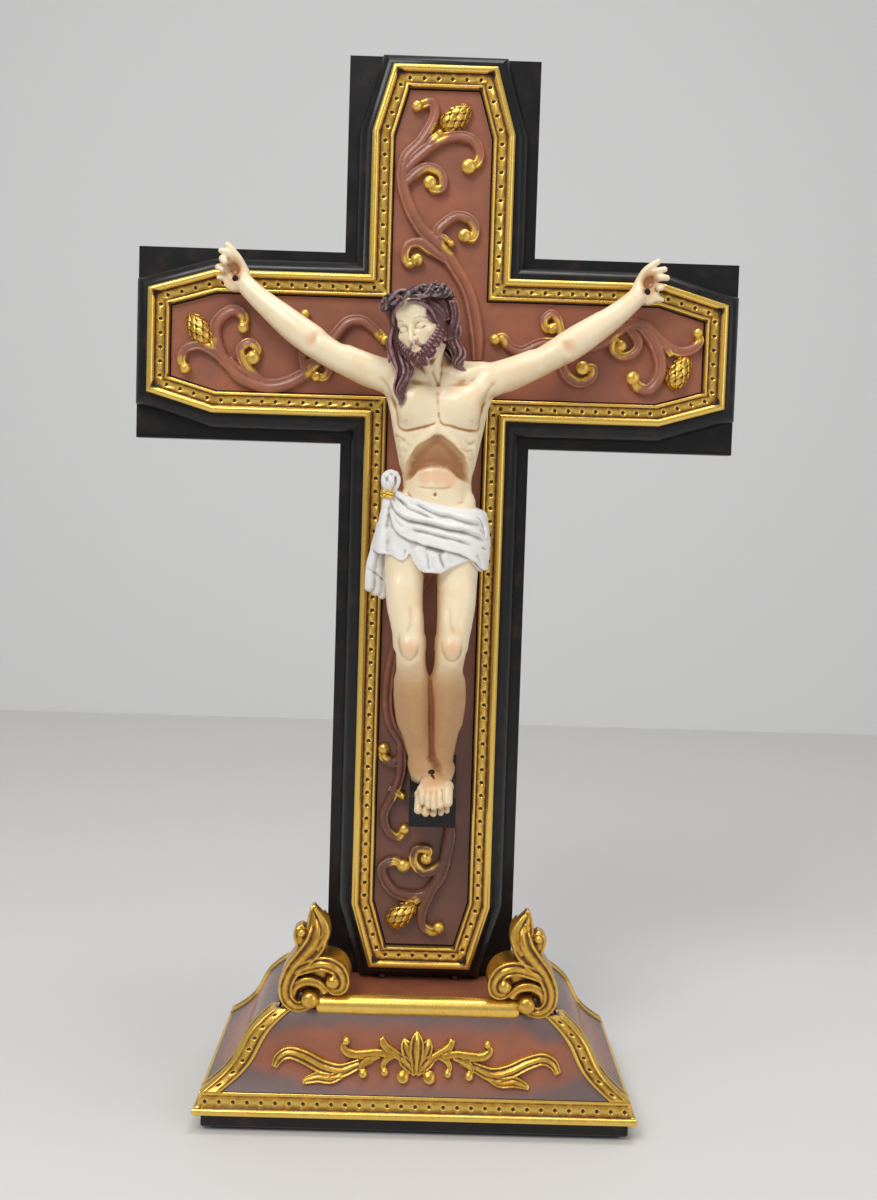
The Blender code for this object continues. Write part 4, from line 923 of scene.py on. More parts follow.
# each vine: its anchor, then stems of (points from the anchor, width, end width, end button), in millimetres
vineStems = {
    "vine_top": ("top", [
        ([(19, -136), (18, -122), (14, -105), (7, -93), (0, -84), (-9, -76), (-16, -64), (-19, -53),
          (-18, -43), (-11, -35), (-5, -24), (-6, -17), (-13, -19)], 6.6, 4, 2.6),
        ([(-19, -50), (-13, -43), (-6, -37), (1, -33), (8, -32), (14, -34), (17, -39), (16, -44), (12, -46)],
         5, 4.2, 3.6),
        ([(-19, -56), (-13, -50), (-8, -47), (-3, -48), (0, -51), (0, -56), (-4, -57), (-6, -54)], 4.4, 3.6,
         3.2),
        ([(1, -84), (-2, -77), (2, -72), (7, -69), (13, -70), (16, -74), (15, -79), (11, -78)], 4.8, 4, 3.2),
        ([(3, -90), (-5, -85), (-10, -82), (-15, -83), (-17, -88), (-15, -92), (-11, -90)], 4.6, 3.8, 3),
        ([(-8, -38), (-5, -34), (-2, -31)], 3.6, 2.6, 1.6),
        ([(-4, -80), (1, -79), (5, -82)], 3, 2, 1.6),
    ]),
    "vine_left": ("left", [
        ([(38, -8), (42, -14), (49, -18), (58, -20), (67, -18), (75, -13), (82, -5), (88, 4), (94, 11),
          (101, 12), (107, 8), (112, 3)], 6.9, 4.2, 2.4),
        ([(41, -12), (36, -8), (30, -4), (24, -2), (18, -4), (16, -9), (18, -13)], 5.2, 3.8, 2.6),
        ([(40, -13), (35, -7), (32, 1), (32, 8), (36, 13), (41, 15), (45, 12), (45, 7)], 5.6, 4.6, 2.8),
        ([(56, -19), (49, -14), (45, -8), (44, -3), (48, 0), (52, -3), (50, -7)], 4.6, 3.8, 3.4),
        ([(73, -14), (77, -9), (82, -7), (86, -11), (84, -15), (80, -15)], 4, 3.4, 2.4),
        ([(74, -13), (73, -2), (73, 8), (74, 14)], 3.8, 3.2, 2.4),
        ([(31, -4), (30, -1)], 2.8, 2.2, 0),
    ]),
    "vine_right": ("right", [
        ([(45, 15), (51, 12), (58, 6), (67, 3), (77, 4), (88, 4), (97, 0), (103, 2), (106, 6), (110, 5)],
         5.8, 4.2, 2.6),
        ([(48, 14), (41, 14), (36, 11), (29, 5), (22, 2), (16, 3.5), (13, 7), (14, 11)], 5.4, 3.8, 2.4),
        ([(46, 15), (40, 13), (34, 5), (31, -4), (32, -11), (36, -16), (41, -15), (44, -11)], 6.2, 4.6, 3.4),
        ([(47, 12), (43, 8), (42, 4), (45, 0), (50, -1), (54, 2), (53, 6), (50, 4)], 4.4, 3.6, 2.6),
        ([(74, 4), (78, -3), (76, -10), (70, -14), (64, -12), (63, -7), (68, -7)], 5, 3.8, 3.4),
        ([(77, 4), (79, 10), (81, 16), (84, 18), (87, 15), (86, 11), (83, 11)], 4.2, 3.4, 2.6),
        ([(30, 6), (28, 3), (26, 0)], 3.2, 2.4, 0),
    ]),
    "vine_beside_legs": ("foot", [
        ([(1, 196), (-8, 180), (-14, 163), (-18, 146), (-19, 130), (-17, 119), (-12, 111), (-11, 105),
          (-15, 100), (-20, 103), (-20, 107)], 5.4, 4, 2.8),
        ([(-12, 110), (-11, 101), (-12, 92), (-15, 84), (-19, 75), (-17, 67), (-12, 64), (-9, 68)],
         4.8, 3.6, 2.6),
        ([(-17, 88), (-13, 86), (-10, 84)], 3.4, 2.6, 1.6),
    ]),
    "vine_bottom": ("foot", [
        ([(13, 71), (13, 65), (11, 52), (8, 43), (2, 36), (-6, 35), (-13, 37), (-18, 43), (-19, 49),
          (-14, 52), (-9, 50)], 6, 4.2, 3.2),
        ([(13, 63), (12, 55), (7, 49), (1, 47), (-4, 52), (-3, 58), (3, 58), (2, 54)], 4.4, 3.6, 2.8),
        ([(10, 48), (5, 38), (1, 28), (1, 21), (6, 18), (9, 20)], 4.8, 4, 2.8),
        ([(2, 36), (-1, 34), (-3, 32)], 3.2, 2.4, 0),
    ]),
}


def addVines():
    v = vineSizes
    for name, (anchor, stems) in vineStems.items():
        x0, z0, flip = vineAnchors[anchor]

        def onPanel(x, z, h):
            return (x0 + flip * x * mm, v["backY"] - h * mm, z0 + z * mm)

        skins, ends = [], []
        for points, wide, end, button in stems:
            last = len(points) - 1
            widths = [v["stem"] * (wide + (end - wide) * (k / last) ** 1.4) for k in range(len(points))]
            widths[0] *= 0.7
            shaped = [(x, z, w) for (x, z), w in zip(points, widths)]
            skins += ribbon(shaped, v["height"], onPanel, 6, button * v["button"], "stem")
            ends.append((onPanel(*points[-1], 3.0), button * v["button"] * mm))
        piece = joinedSkins(name.replace("_", "."), skins)
        meltTogether(piece, v["voxel"], 2)
        markRelief(piece, passes=22, depth=0.42 * mm)
        places = meshOf(piece)[0]
        leaf = np.zeros(len(places))
        for spot, radius in ends:
            reach = np.sqrt(((places - np.array(spot)) ** 2).sum(1)) - radius
            leaf = np.maximum(leaf, 1 - (reach - v["gildNear"]) / (v["gildFar"] - v["gildNear"]))
        addMark(piece, "leaf", np.clip(leaf, 0, 1))
        finishPiece(piece, paints["vine"], "red_brown_glaze", name, angle=180)


budSizes = {
    "length": 17.4 * mm,
    "width": 10.4 * mm,
    "height": 5.6 * mm,
    "scale": 1.05 * mm,
    "rows": 6,
    "around": 8,
    "fine": 96,          # points round the bud and along it
}
budLeans = {"top": 52, "left": -34, "right": 28, "bottom": 50}


def addBuds():
    for name, lean in budLeans.items():
        low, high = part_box("bud_" + name)
        centre = Vector(((low.x + high.x) / 2, vineSizes["backY"] - 0.8 * mm, (low.z + high.z) / 2))
        turn = Matrix.Rotation(math.radians(lean), 3, "Y")
        rings, fine = [], budSizes["fine"]
        for k in range(1, fine):
            t = k / fine
            u = 1 - 2 * t
            taper = math.sqrt(1 - u * u) ** 0.86 * (1 - 0.16 * u)
            ring = []
            for j in range(fine):
                a = 2 * math.pi * j / fine
                lift = budScale(j / fine * budSizes["around"], t * budSizes["rows"]) - 0.45
                out = 1 + lift * budSizes["scale"] / (budSizes["width"] / 2)
                ring.append(centre + turn @ Vector((math.cos(a) * taper * out * budSizes["width"] / 2,
                                                    math.sin(a) * taper * out * budSizes["height"],
                                                    u * budSizes["length"] / 2)))
            rings.append(ring)
        bud = newPiece("bud." + name, *loft(rings))
        markRelief(bud, passes=16, depth=0.28 * mm)
        finishPiece(bud, paints["gold"], "antique_gilt", "bud_" + name, angle=180)


# height of the overlapping scales, pointed at their free end, at a place counted in scales and rows
def budScale(across, row):
    best = 0.0
    for k in (math.floor(row) - 1, math.floor(row)):
        side = abs((across + 0.5 * (k % 2)) % 1 * 2 - 1)
        along = (row - k) / 1.5
        edge = 1 - side ** 1.7 - along ** 2.2 * 0.9
        if edge > 0:
            best = max(best, min(1.0, edge * 2.6) * (0.35 + 0.65 * along))
    return best


addVines()
addBuds()
print("vines and buds made")


# Plinth: sloping panels, gilt rails, hips, roll bar, scroll brackets and leaf ornament

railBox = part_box("gilt_rail_front")
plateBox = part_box("plinth_top")
plinth = {
    "halfX": railBox[1].x,
    "halfY": -railBox[0].y,
    "railZ": railBox[0].z,
    "slopeZ": 19.0 * mm,
    "topZ": plateBox[1].z,
    "plate": 2.2 * mm,
    "inset": 4.0 * mm,
    "topHalfX": plateBox[1].x,
    "topHalfY": plateBox[1].y,
    "swell": 0.08,
    "skin": 1.7 * mm,
    "hipWide": 9.0 * mm,
    "hipProud": 1.1 * mm,
    "hipBack": 2.2 * mm,
    "hipPits": 4.4,      # mm from the hip's edge to the middle of its pits
    "fineRows": 34,
    "fineColumns": 60,
}


def slopeShare(z):
    t = (z - plinth["slopeZ"]) / (plinth["topZ"] - plinth["slopeZ"])
    return t + plinth["swell"] * math.sin(2 * math.pi * t)


# half the slope's width and depth at a height
def slopeHalves(z):
    t = slopeShare(z)
    lowX, lowY = plinth["halfX"] - plinth["inset"], plinth["halfY"] - 2.4 * mm
    return lowX + (plinth["topHalfX"] - lowX) * t, lowY + (plinth["topHalfY"] - lowY) * t


def rectangleOutline(halfX, halfY):
    return [(halfX, -halfY), (halfX, halfY), (-halfX, halfY), (-halfX, -halfY)]


def addRails():
    outer = [(0.6, 0), (0.25, 0.3)] + arc((1.45, 1.7), 1.42, 215, 90, 10) + [(1.75, 3.3)]
    band = pittedStretch((1.95, 3.5), (2.95, 7.9), punched["radius"] / mm)
    inner = [(3.05, 8.1)] + arc((3.9, 9.25), 1.12, 215, 60, 9) + [(5.4, 10.4), (7, 10.4)]
    profile = [(d * mm, h * mm) for d, h in [(7, 0)] + outer + band + inner]
    pitAt = profile[1 + len(outer) + len(pitRows) // 2]
    outline = rectangleOutline(plinth["halfX"], plinth["halfY"])

    def onPlinth(point, height):
        return Vector((point.x, point.y, plinth["railZ"] + height))

    for name, first in (("right", 0), ("rear", 1), ("left", 2), ("front", 3)):
        piece = sweepMoulding("giltRail." + name, outline, first, 1, profile, onPlinth, pitAt)
        markRelief(piece, passes=10, depth=0.34 * mm, bias=0.25)
        finishPiece(piece, paints["gold"], "antique_gilt", "gilt_rail_" + name, angle=50)


# Two legs of moulding that meet at the hip; each has a bead at its inner edge and a row of pits
def addHips():
    low, high = plinth["slopeZ"] + gap, plinth["topZ"] - plinth["plate"] - gap
    length = (high - low) * 1.25
    pits = max(1, round(length / punched["pitch"]))
    rows = sorted({0.0, 1.0} | {min(max((k + 0.5) / pits + r * punched["radius"] / length, 0), 1)
                                for k in range(pits) for r in pitRows})
    wide = plinth["hipWide"]
    leg = [(0.0, 0.25), (0.5, 0.75), (1.1, 0.85), (1.6, 0.45), (1.9, 0.2)]
    band = [(plinth["hipPits"] + r * punched["radius"] / mm, 0.1) for r in pitRows]
    bead = [(6.9, 0.2), (7.1, 0.75), (7.7, 1.1), (8.4, 0.9), (8.95, 0.3), (9.0, -2.6)]
    across = [(a * mm, h * mm) for a, h in leg + band + bead]
    back, pitLine = plinth["hipBack"], plinth["hipPits"] * mm
    centres = [(k + 0.5) / pits for k in range(pits)]
    corners = {"front_left": (-1, -1), "front_right": (1, -1), "rear_left": (-1, 1), "rear_right": (1, 1)}
    for name, (sx, sy) in corners.items():
        loops = []
        for share in rows:
            z = low + (high - low) * share
            halfX, halfY = slopeHalves(z)
            x, y = halfX + plinth["hipProud"] * 0.45, halfY + plinth["hipProud"] * 0.45
            loop = []
            for part in (0, 1):
                for a, h in (across[::-1] if part == 0 else across):
                    away = min(math.hypot((share - c) * length, a - pitLine) for c in centres)
                    near = away / punched["radius"]
                    sink = punched["depth"] * max(0.0, 1 - near ** 3) if near < 1 else 0.0
                    px, py = (x - a, y + h - sink) if part == 0 else (x + h - sink, y - a)
                    loop.append(Vector((sx * px, sy * py, z)))
            for inX, inY in ((back, wide), (back, back), (wide, back)):
                loop.append(Vector((sx * (halfX - inX), sy * (halfY - inY), z)))
            loops.append(loop)
        piece = newPiece("giltCorner." + name.replace("_", "."), *loft(loops))
        markRelief(piece, passes=10, depth=0.34 * mm, bias=0.25)
        finishPiece(piece, paints["gold"], "antique_gilt", "gilt_corner_" + name, angle=50)


def addPlinthPanels():
    low, high = plinth["slopeZ"] + gap, plinth["topZ"] - plinth["plate"] - gap
    inner = plinth["hipWide"] - plinth["hipProud"] + gap
    for name, turn in (("front", 0), ("right", 90), ("rear", 180), ("left", 270)):
        lengthways = turn % 180 == 0
        grid = []
        for k in range(plinth["fineRows"] + 1):
            z = low + (high - low) * k / plinth["fineRows"]
            halves = slopeHalves(z)
            across, out = halves if lengthways else halves[::-1]
            w = across - inner
            columns = plinth["fineColumns"]
            row = [Vector((w * (2 * j / columns - 1), -out, z)) for j in range(columns + 1)]
            row += [Vector((w, -out + plinth["skin"], z)), Vector((-w, -out + plinth["skin"], z))]
            grid.append([Matrix.Rotation(math.radians(turn), 3, "Z") @ p for p in row])
        panel = newPiece("plinthPanel." + name, *loft(grid))
        markRelief(panel, passes=2, depth=1 * mm)
        places = meshOf(panel)[0]
        z = (places[:, 2] - low) / (high - low)
        spread = abs(places[:, 0 if lengthways else 1])
        spread = spread / spread.max()
        # painted sheen: greyer bands at the top and bottom of the curved face, where it catches the light,
        # and greyer towards the corners; kept in the shadow mark
        shade = np.clip(abs(z - 0.44) * 2.4 - 0.3, 0, 1) + np.clip(spread - 0.55, 0, 1) * 1.8
        addMark(panel, "shadow", np.clip(shade, 0, 1))
        finishPiece(panel, paints["glaze"], "red_brown_glaze", "plinth_panel_" + name, angle=60)


def addRollBar():
    low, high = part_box("roll_bar")
    centreY, centreZ = (low.y + high.y) / 2, (low.z + high.z) / 2
    radius, half = (high.z - low.z) / 2, high.x + 2.2 * mm
    beads = [(0.0, 0.0), (0.0, 0.6), (0.5, 0.86), (1.4, 0.96), (2.6, 1.0), (4.0, 1.0)]
    along = [(-half + a * mm, r) for a, r in beads] + [(half - a * mm, r) for a, r in reversed(beads)]
    loops = []
    for x, r in along:
        thick = radius * max(r, 0.02)
        loops.append([Vector((x, centreY + math.cos(a) * thick, centreZ + math.sin(a) * thick))
                      for a in np.linspace(0, 2 * math.pi, 40, endpoint=False)])
    bar = newPiece("rollBar", *loft(loops))
    markRelief(bar, passes=6, depth=0.5 * mm, bias=0.3)
    finishPiece(bar, paints["gold"], "antique_gilt", "roll_bar", angle=40)


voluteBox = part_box("volute_left")
voluteSizes = {
    "depth": 18.0,
    "frontY": voluteBox[0].y,
    "eyeX": 50.3 * mm,
    "eyeZ": 56.4 * mm,
    "voxel": 0.4 * mm,
}
# right, up and width from the eye of the bracket at the left end, in millimetres;
# each strand has its section, how far its face stands back and its depth
voluteStrands = [
    ("leaf", 0, 18, [(2.6, 40, 6), (3.6, 35, 9.4), (2.2, 29, 10.8), (-2.2, 23, 9.8), (-7.6, 16.6, 8),
                     (-10.8, 9, 7), (-10.4, 2.6, 6.6), (-6.8, -1.2, 6), (-2.4, -1.4, 5), (1.4, -0.4, 4)]),
    ("leaf", 0, 18, [(-9.6, 12.6, 3.6), (-5.2, 16, 5.4), (0.4, 18.6, 6.4), (6.6, 20, 7.2), (12.4, 18, 7.4),
                     (15.4, 13, 6.6), (14.8, 8.2, 5.6), (11.2, 6.9, 4.6), (8.8, 9.2, 3.8)]),
    ("stem", 3, 15, [(-8.2, 2, 3.6), (-6.6, 7.6, 4.2), (-1.4, 10.6, 4.6), (4.2, 9.4, 4.4), (7.8, 5.4, 4)]),
    ("plain", 6.5, 11, [(-8, 6, 9), (-2, 11.4, 11), (5, 12.6, 12), (10, 11, 9)]),
    ("leaf", 2.5, 9, [(3.4, 28, 5.6), (1.8, 35, 7.6), (1, 40.6, 5.4), (0.8, 46, 1.6)]),
    ("stem", 0.6, 9, [(2.6, 27, 4.6), (6.4, 32, 4.6), (6.8, 36.6, 4), (4.4, 41.4, 2.8), (1.6, 45, 1.6)]),
    ("stem", 2, 9, [(-2.6, 25, 5), (-5, 30, 5.6), (-5.4, 34.2, 4.6), (-3, 36.2, 3.2)]),
]
# right, up and radius, and how far the head stands back
voluteButtons = [(0.4, 2.4, 4, 0), (10.8, 11.4, 3.2, -0.4), (-4.2, 33.6, 2.1, 1.4)]


def addVolutes():
    v = voluteSizes
    for name, side in (("left", 1), ("right", -1)):

        def place(x, z, h):
            return (side * (x * mm - v["eyeX"]), v["frontY"] + (v["depth"] - h) * mm, v["eyeZ"] + z * mm)

        skins = []
        for section, back, depth, points in voluteStrands:

            def setBack(x, z, h):
                return place(x, z, h + v["depth"] - back - depth)

            skins += ribbon(points, depth, setBack, 6, 0, section)
        for x, z, radius, back in voluteButtons:
            skins.append(ball(x, z, radius, 1.0, v["depth"] - back + 0.5, place, 1.7))
        piece = joinedSkins("volute." + name, skins)
        meltTogether(piece, v["voxel"], 3)
        markRelief(piece, passes=30, depth=0.7 * mm, bias=-0.02)
        finishPiece(piece, paints["gold"], "antique_gilt", "volute_" + name, angle=180)


ornamentSizes = {"height": 3.4, "voxel": 0.3 * mm}
# section, button, then right, up and width from the middle of the front panel, in millimetres
ornamentRibbons = [
    ("leaf", 0, [(20, -1.6, 2.6), (27, -3.8, 4.6), (35, -6.4, 6.2), (43, -4.8, 6.4), (51, -1.2, 6.2),
                 (58, 0.6, 5.6), (62.6, -1.4, 5), (65, -5.6, 3)]),
    ("leaf", 0, [(31, -6.4, 2.6), (38, -9.4, 4.2), (44.6, -9, 4.6), (49, -10.2, 3.4), (51.6, -11.6, 1.6)]),
    ("plain", 1.8, [(20, -1.2, 2.8), (26, 0.4, 3.6), (31, 1.2, 4), (33.6, 3.6, 3.2), (32.4, 6.4, 2.6)]),
    ("plain", 0, [(12, 0.6, 3.4), (18, 1.8, 3.2), (24, 1.2, 3.4), (30, 1, 2.8)]),
    ("stem", 2.9, [(16.4, 8, 2.8), (14.4, 4.4, 4.2), (9.8, 1.4, 4), (5.6, -1.6, 4), (4.4, -5.6, 3.8),
                   (6, -8, 3.6)]),
    ("stem", 2.1, [(17, 0.4, 2.6), (22, -1.4, 3.4), (25, -4, 3.2), (24.2, -7, 3)]),
    ("stem", 1.9, [(10, 0.6, 2.4), (13.4, -0.8, 3), (15.2, -3.4, 2.8), (14.4, -6.2, 2.6)]),
]
# lean, length and width of the palmette's leaves
palmette = [(0, 18, 7.2), (-22, 16, 6.6), (22, 16, 6.6), (-46, 11, 5.4), (46, 11, 5.4)]


def addOrnament():
    o = ornamentSizes
    middle = (plinth["slopeZ"] + plinth["topZ"]) / 2 - 2 * mm
    skins = []

    def place(x, z, h):
        up = middle + z * mm
        return (x * mm, -slopeHalves(up)[1] - (h - 0.3) * mm, up)

    for side in (-1, 1):
        for section, button, points in ornamentRibbons:
            skins += ribbon([(side * x, z, w) for x, z, w in points], o["height"], place, 5, button, section)
    leafShape = ((0, 0.5), (0.25, 0.75), (0.55, 1.0), (0.82, 0.85), (1.0, 0.15))
    for lean, tall, wide in palmette:
        dx, dz = math.sin(math.radians(lean)), math.cos(math.radians(lean))
        leaf = [(dx * t * tall, -7 + dz * t * tall, wide * w) for t, w in leafShape]
        skins += ribbon(leaf, o["height"] * (1.25 if lean == 0 else 1.1), place, 5, 0, "leaf")
    piece = joinedSkins("plinthOrnament", skins)
    meltTogether(piece, o["voxel"], 2)
    markRelief(piece, passes=24, depth=0.40 * mm, bias=-0.02)
    finishPiece(piece, paints["gold"], "antique_gilt", "plinth_ornament", angle=180)


addRails()
addHips()
addPlinthPanels()
addRollBar()
addVolutes()
addOrnament()
print("plinth made")


# Corpus: one seamless skin over trunk, arms, legs and head

corpus = {
    "step": 0.95,           # mm, size of the skin's faces
    "headTurn": (-14, -11, 26),
    "headPlace": (-7.4, 23.0, 7.3),
    "headSize": 1.15,
    "lean": 1.3,            # mm, the trunk's middle lies this far to the right
}
headTurn = turnMatrix(corpus["headTurn"])
leftArm = [
    (-20, 11, -15.5, 7.4), (-29, 11.6, -13.8, 7.4), (-38, 12.2, -10.8, 6.7), (-46, 12.3, -7.4, 6.4),
    (-52.5, 12, -3.8, 6.5), (-58, 11.6, 0, 6.9), (-63.5, 11, 3.6, 7), (-69.5, 10, 8, 6.6),
    (-77, 8.6, 14, 5.8), (-83, 7.4, 18.9, 5.1), (-88, 6.2, 23.4, 4.6), (-91.5, 5.4, 26.8, 4.4),
]
rightArm = [
    (22, 11, -15.5, 7.4), (31, 11.6, -13.8, 7.4), (40, 12.2, -10.4, 6.7), (47.5, 12.3, -6.8, 6.4),
    (54, 12, -2.8, 6.5), (60, 11.6, 0.8, 6.9), (65.5, 11, 4.4, 7), (71.5, 10, 8.6, 6.5),
    (79, 8.6, 14, 5.7), (84.5, 7.4, 18.4, 5.1), (89.8, 6.2, 23.2, 4.6), (93, 5.4, 26.6, 4.4),
]
# finger chains seen from the front, in millimetres from the nail, outwards, forward and up
leftHand = [
    [(3.5, 1, 3, 2.8), (0.8, 2.2, 9, 2.1), (-1.8, 3.4, 12.6, 1.7), (-4.2, 3.6, 15.4, 1.45)],
    [(0.5, 0.8, 5.5, 2.4), (-1.6, 2.6, 10, 2), (-4.4, 4, 11.8, 1.65), (-7, 4, 12.6, 1.4)],
    [(-1, 0.6, 5, 2.3), (-3.6, 2.4, 8.6, 1.9), (-6.2, 4.6, 8.8, 1.75), (-4.6, 6.2, 6.8, 1.45)],
    [(-2, 0.6, 3, 2.1), (-5.6, 2.2, 5.2, 1.6), (-8.2, 4, 5, 1.5), (-6.2, 5.2, 3.6, 1.3)],
    [(-3, 0.6, 0.5, 2.4), (-5.6, 1.4, 0.8, 1.7), (-8, 2.2, 0.6, 1.2)],
]
rightHand = [
    [(-3.5, 1, 3, 2.8), (-1, 2.2, 9, 2.1), (2, 3.4, 12.2, 1.7), (4.6, 3.6, 14, 1.45)],
    [(-0.5, 0.8, 5.5, 2.4), (2, 2.8, 8.8, 2), (5, 4, 9.8, 1.65), (7.8, 4, 10.6, 1.4)],
    [(1, 0.6, 5, 2.3), (3.4, 2.4, 6.6, 1.8), (6.4, 4.4, 6.8, 1.7), (8.9, 4.6, 6.6, 1.45)],
    [(2, 0.6, 3, 2.1), (4.6, 2.2, 3, 1.7), (7, 3.8, 2.6, 1.5), (5.4, 5, 1.6, 1.3)],
    [(3, 0.6, 0, 2.4), (4.8, 1.6, -2.2, 2), (7.4, 1.8, -3, 1.2)],
]
leftLeg = [
    (-9.5, 12.5, -84, 10.8), (-11.6, 14.5, -96, 10), (-12.3, 17, -108, 9), (-11.6, 19.8, -119, 8.3),
    (-10.3, 22, -129, 7.6), (-8.9, 23.4, -137, 7.1), (-8.2, 23.6, -143, 6.8), (-7.9, 22, -149, 6.9),
    (-7.1, 19, -156, 7.9), (-6.6, 16.6, -165, 8.3), (-5.8, 14.8, -175, 7.4), (-4.2, 13.6, -184, 6.1),
    (-2.9, 13.2, -192, 5.2), (-1.6, 13.4, -198, 4.9),
]
rightLeg = [
    (10.5, 12.5, -84, 10.8), (11.8, 14.5, -96, 10.2), (12.2, 17, -108, 9.4), (12, 19.8, -119, 8.8),
    (11.5, 22, -129, 8.1), (10.4, 23.4, -137, 7.4), (9.9, 23.6, -143, 7), (9.3, 22, -149, 6.8),
    (9, 18.4, -156, 7.7), (9.4, 15.4, -165, 7.9), (9, 12.6, -175, 7.2), (8.3, 10.8, -184, 6.3),
    (7.8, 10, -193, 5.4), (7.6, 9.8, -200, 5),
]


def addTrunk(clay):
    m = corpus["lean"]
    clay.chain([(0.8, 11.0, -15, 7.6), (1.0, 11.6, -24, 9.8), (1.4, 12.0, -34, 10.8), (1.5, 11.8, -44, 10.3),
                (1.5, 11.0, -54, 9.5), (1.6, 10.2, -63, 8.7), (2.0, 10.6, -71, 8.9), (2.4, 11.2, -80, 10.4),
                (2.2, 11.8, -90, 11.0), (2.0, 12.0, -97, 10.4)], 2.0, 3, (1.85, 1, 1))
    for s in (-1, 1):
        # side of the chest below the armpit, breast and its pull to the raised arm
        clay.chain([(m + s * 22.5, 10, -17, 4.6), (m + s * 18.2, 9.8, -30, 4.4), (m + s * 16, 9.6, -41, 4.0),
                    (m + s * 13.5, 9.4, -54, 3.0)], 3.0)
        clay.egg((m + s * 9.3, 18.6, -29.5), (10.0, 5.8, 9.6), 2.2, (0, s * 14, 0))
        clay.chain([(m + s * 12, 18.2, -26, 5.0), (m + s * 22, 14.2, -18, 5.4)], 3.0)
        # collar bone and the muscle from neck to shoulder
        clay.chain([(m + s * 2.2, 17.6, -17.4, 1.3), (m + s * 9, 18.4, -15.4, 1.2),
                    (m + s * 18, 15.6, -11.6, 1.5)], 1.6)
        clay.chain([(-1.5, 9.5, -6, 4.6), (s * 9, 9.2, -11, 4.6), (s * 20, 10.2, -12.5, 5.4)], 4.0)
        clay.egg((m + s * 10, 14.6, -15.0), (9.0, 4.4, 5.0), 3.0)
        # edge of the ribs and the ribs at the side
        clay.chain([(m + s * 3.0, 20.4, -42.5, 1.8), (m + s * 8.2, 19.8, -47.5, 2.2),
                    (m + s * 12.6, 17.4, -53, 2.4), (m + s * 13.4, 13.4, -57.5, 1.5)], 2.6)
        for x, f, z in ((17.0, 15.2, -43.0), (16.2, 15.2, -47.6), (15.0, 15.2, -52.2)):
            clay.chain([(m + s * x, f, z, 1.5), (m + s * (x - 4.6), f + 3.2, z - 1.8, 0.9)], 1.4)
        # hip bone and hip
        clay.chain([(m + s * 15.0, 12.5, -71.5, 2.4), (m + s * 12.0, 15.5, -77, 2.2)], 3.0)
        clay.egg((m + s * 9.0, 15.6, -84), (8.0, 5.0, 9.0), 4.0)
    clay.egg((m + 0.6, 19.2, -39.0), (6.0, 3.4, 5.2), 3.0)
    clay.egg((m + 0.5, 15.6, -67.2), (11.0, 5.6, 10.4), 3.0)
    clay.egg((m - 0.6, 21.6, -69.3), (0.9, 1.7, 1.2), 0.9, hollow=True)


def addArm(clay, stations, s):
    clay.chain(stations, 2.5, 3)
    shoulder, elbow = np.array(stations[1][:3]), np.array(stations[5][:3])
    wrist = np.array(stations[-1][:3])

    def along(t):
        return shoulder + (elbow - shoulder) * t if t <= 1 else elbow + (wrist - elbow) * (t - 1)

    # each muscle: share of the way from shoulder to wrist, forward, up and radius at both ends
    muscles = [
        ((-0.20, 1.6, 2.2, 5.6), (0.42, 1.2, 1.8, 4.3), 2.2),
        ((-0.15, 2.4, -1.6, 5.0), (0.35, 1.4, 0.2, 4.2), 2.0),
        ((0.20, 2.8, -0.6, 3.4), (0.82, 3.0, -0.2, 3.5), 2.0),
        ((0.10, -1.5, -3.4, 3.6), (0.80, -0.8, -3.0, 3.6), 2.2),
        ((0.95, 1.8, 2.6, 3.8), (1.45, 1.6, 1.2, 3.0), 2.2),
        ((1.00, 1.4, -2.8, 4.0), (1.50, 1.6, -1.0, 2.8), 2.2),
        ((1.62, 2.7, 0.4, 0.9), (1.97, 2.6, 0.4, 0.8), 1.2),
        ((1.60, 2.4, -1.8, 0.8), (1.95, 2.2, -1.4, 0.8), 1.2),
    ]
    for (t0, f0, z0, r0), (t1, f1, z1, r1), blend in muscles:
        a, b = along(t0) + (0, f0, z0), along(t1) + (0, f1, z1)
        clay.chain([(*a, r0), (*b, r1)], blend)
    crease = along(0.93)
    clay.chain([(*(crease + (-s * 1.2, 6.6, 4.4)), 0.7), (*(crease + (s * 2.0, 7.0, -3.4)), 0.7)], 1.4,
               hollow=True)


# front middle of the nail's head in a hand
def nailHead(s):
    low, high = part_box("nail_hand_left" if s < 0 else "nail_hand_right")
    return toFigure([((low.x + high.x) / 2, low.y, (low.z + high.z) / 2)])[0]


def addHand(clay, fingers, s):
    nail = nailHead(s)
    x, f, z = nail[0], 3.4, nail[2]
    clay.egg((x + s * 0.4, f + 0.6, z + 2.2), (5.2, 3.0, 7.0), 2.2, (0, s * 26, 0))
    clay.egg((x + s * 2.2, f + 1.8, z - 1.6), (3.4, 2.3, 4.6), 1.6, (0, s * 34, 0))
    clay.egg((x - s * 3.2, f + 1.8, z + 1.0), (2.6, 2.4, 5.2), 1.6, (0, s * 30, 0))
    for finger in fingers:
        clay.chain([(x + dx, f + df, z + dz, r) for dx, df, dz, r in finger], 0.9, 3)
    clay.egg((x + s * 0.9, f + 4.2, z + 4.4), (2.5, 2.2, 3.0), 1.4, (0, s * 26, 0), hollow=True)
    clay.egg((x, nail[1] + 1.6, z), (2.2, 2.2, 2.2), 0.8, hollow=True)


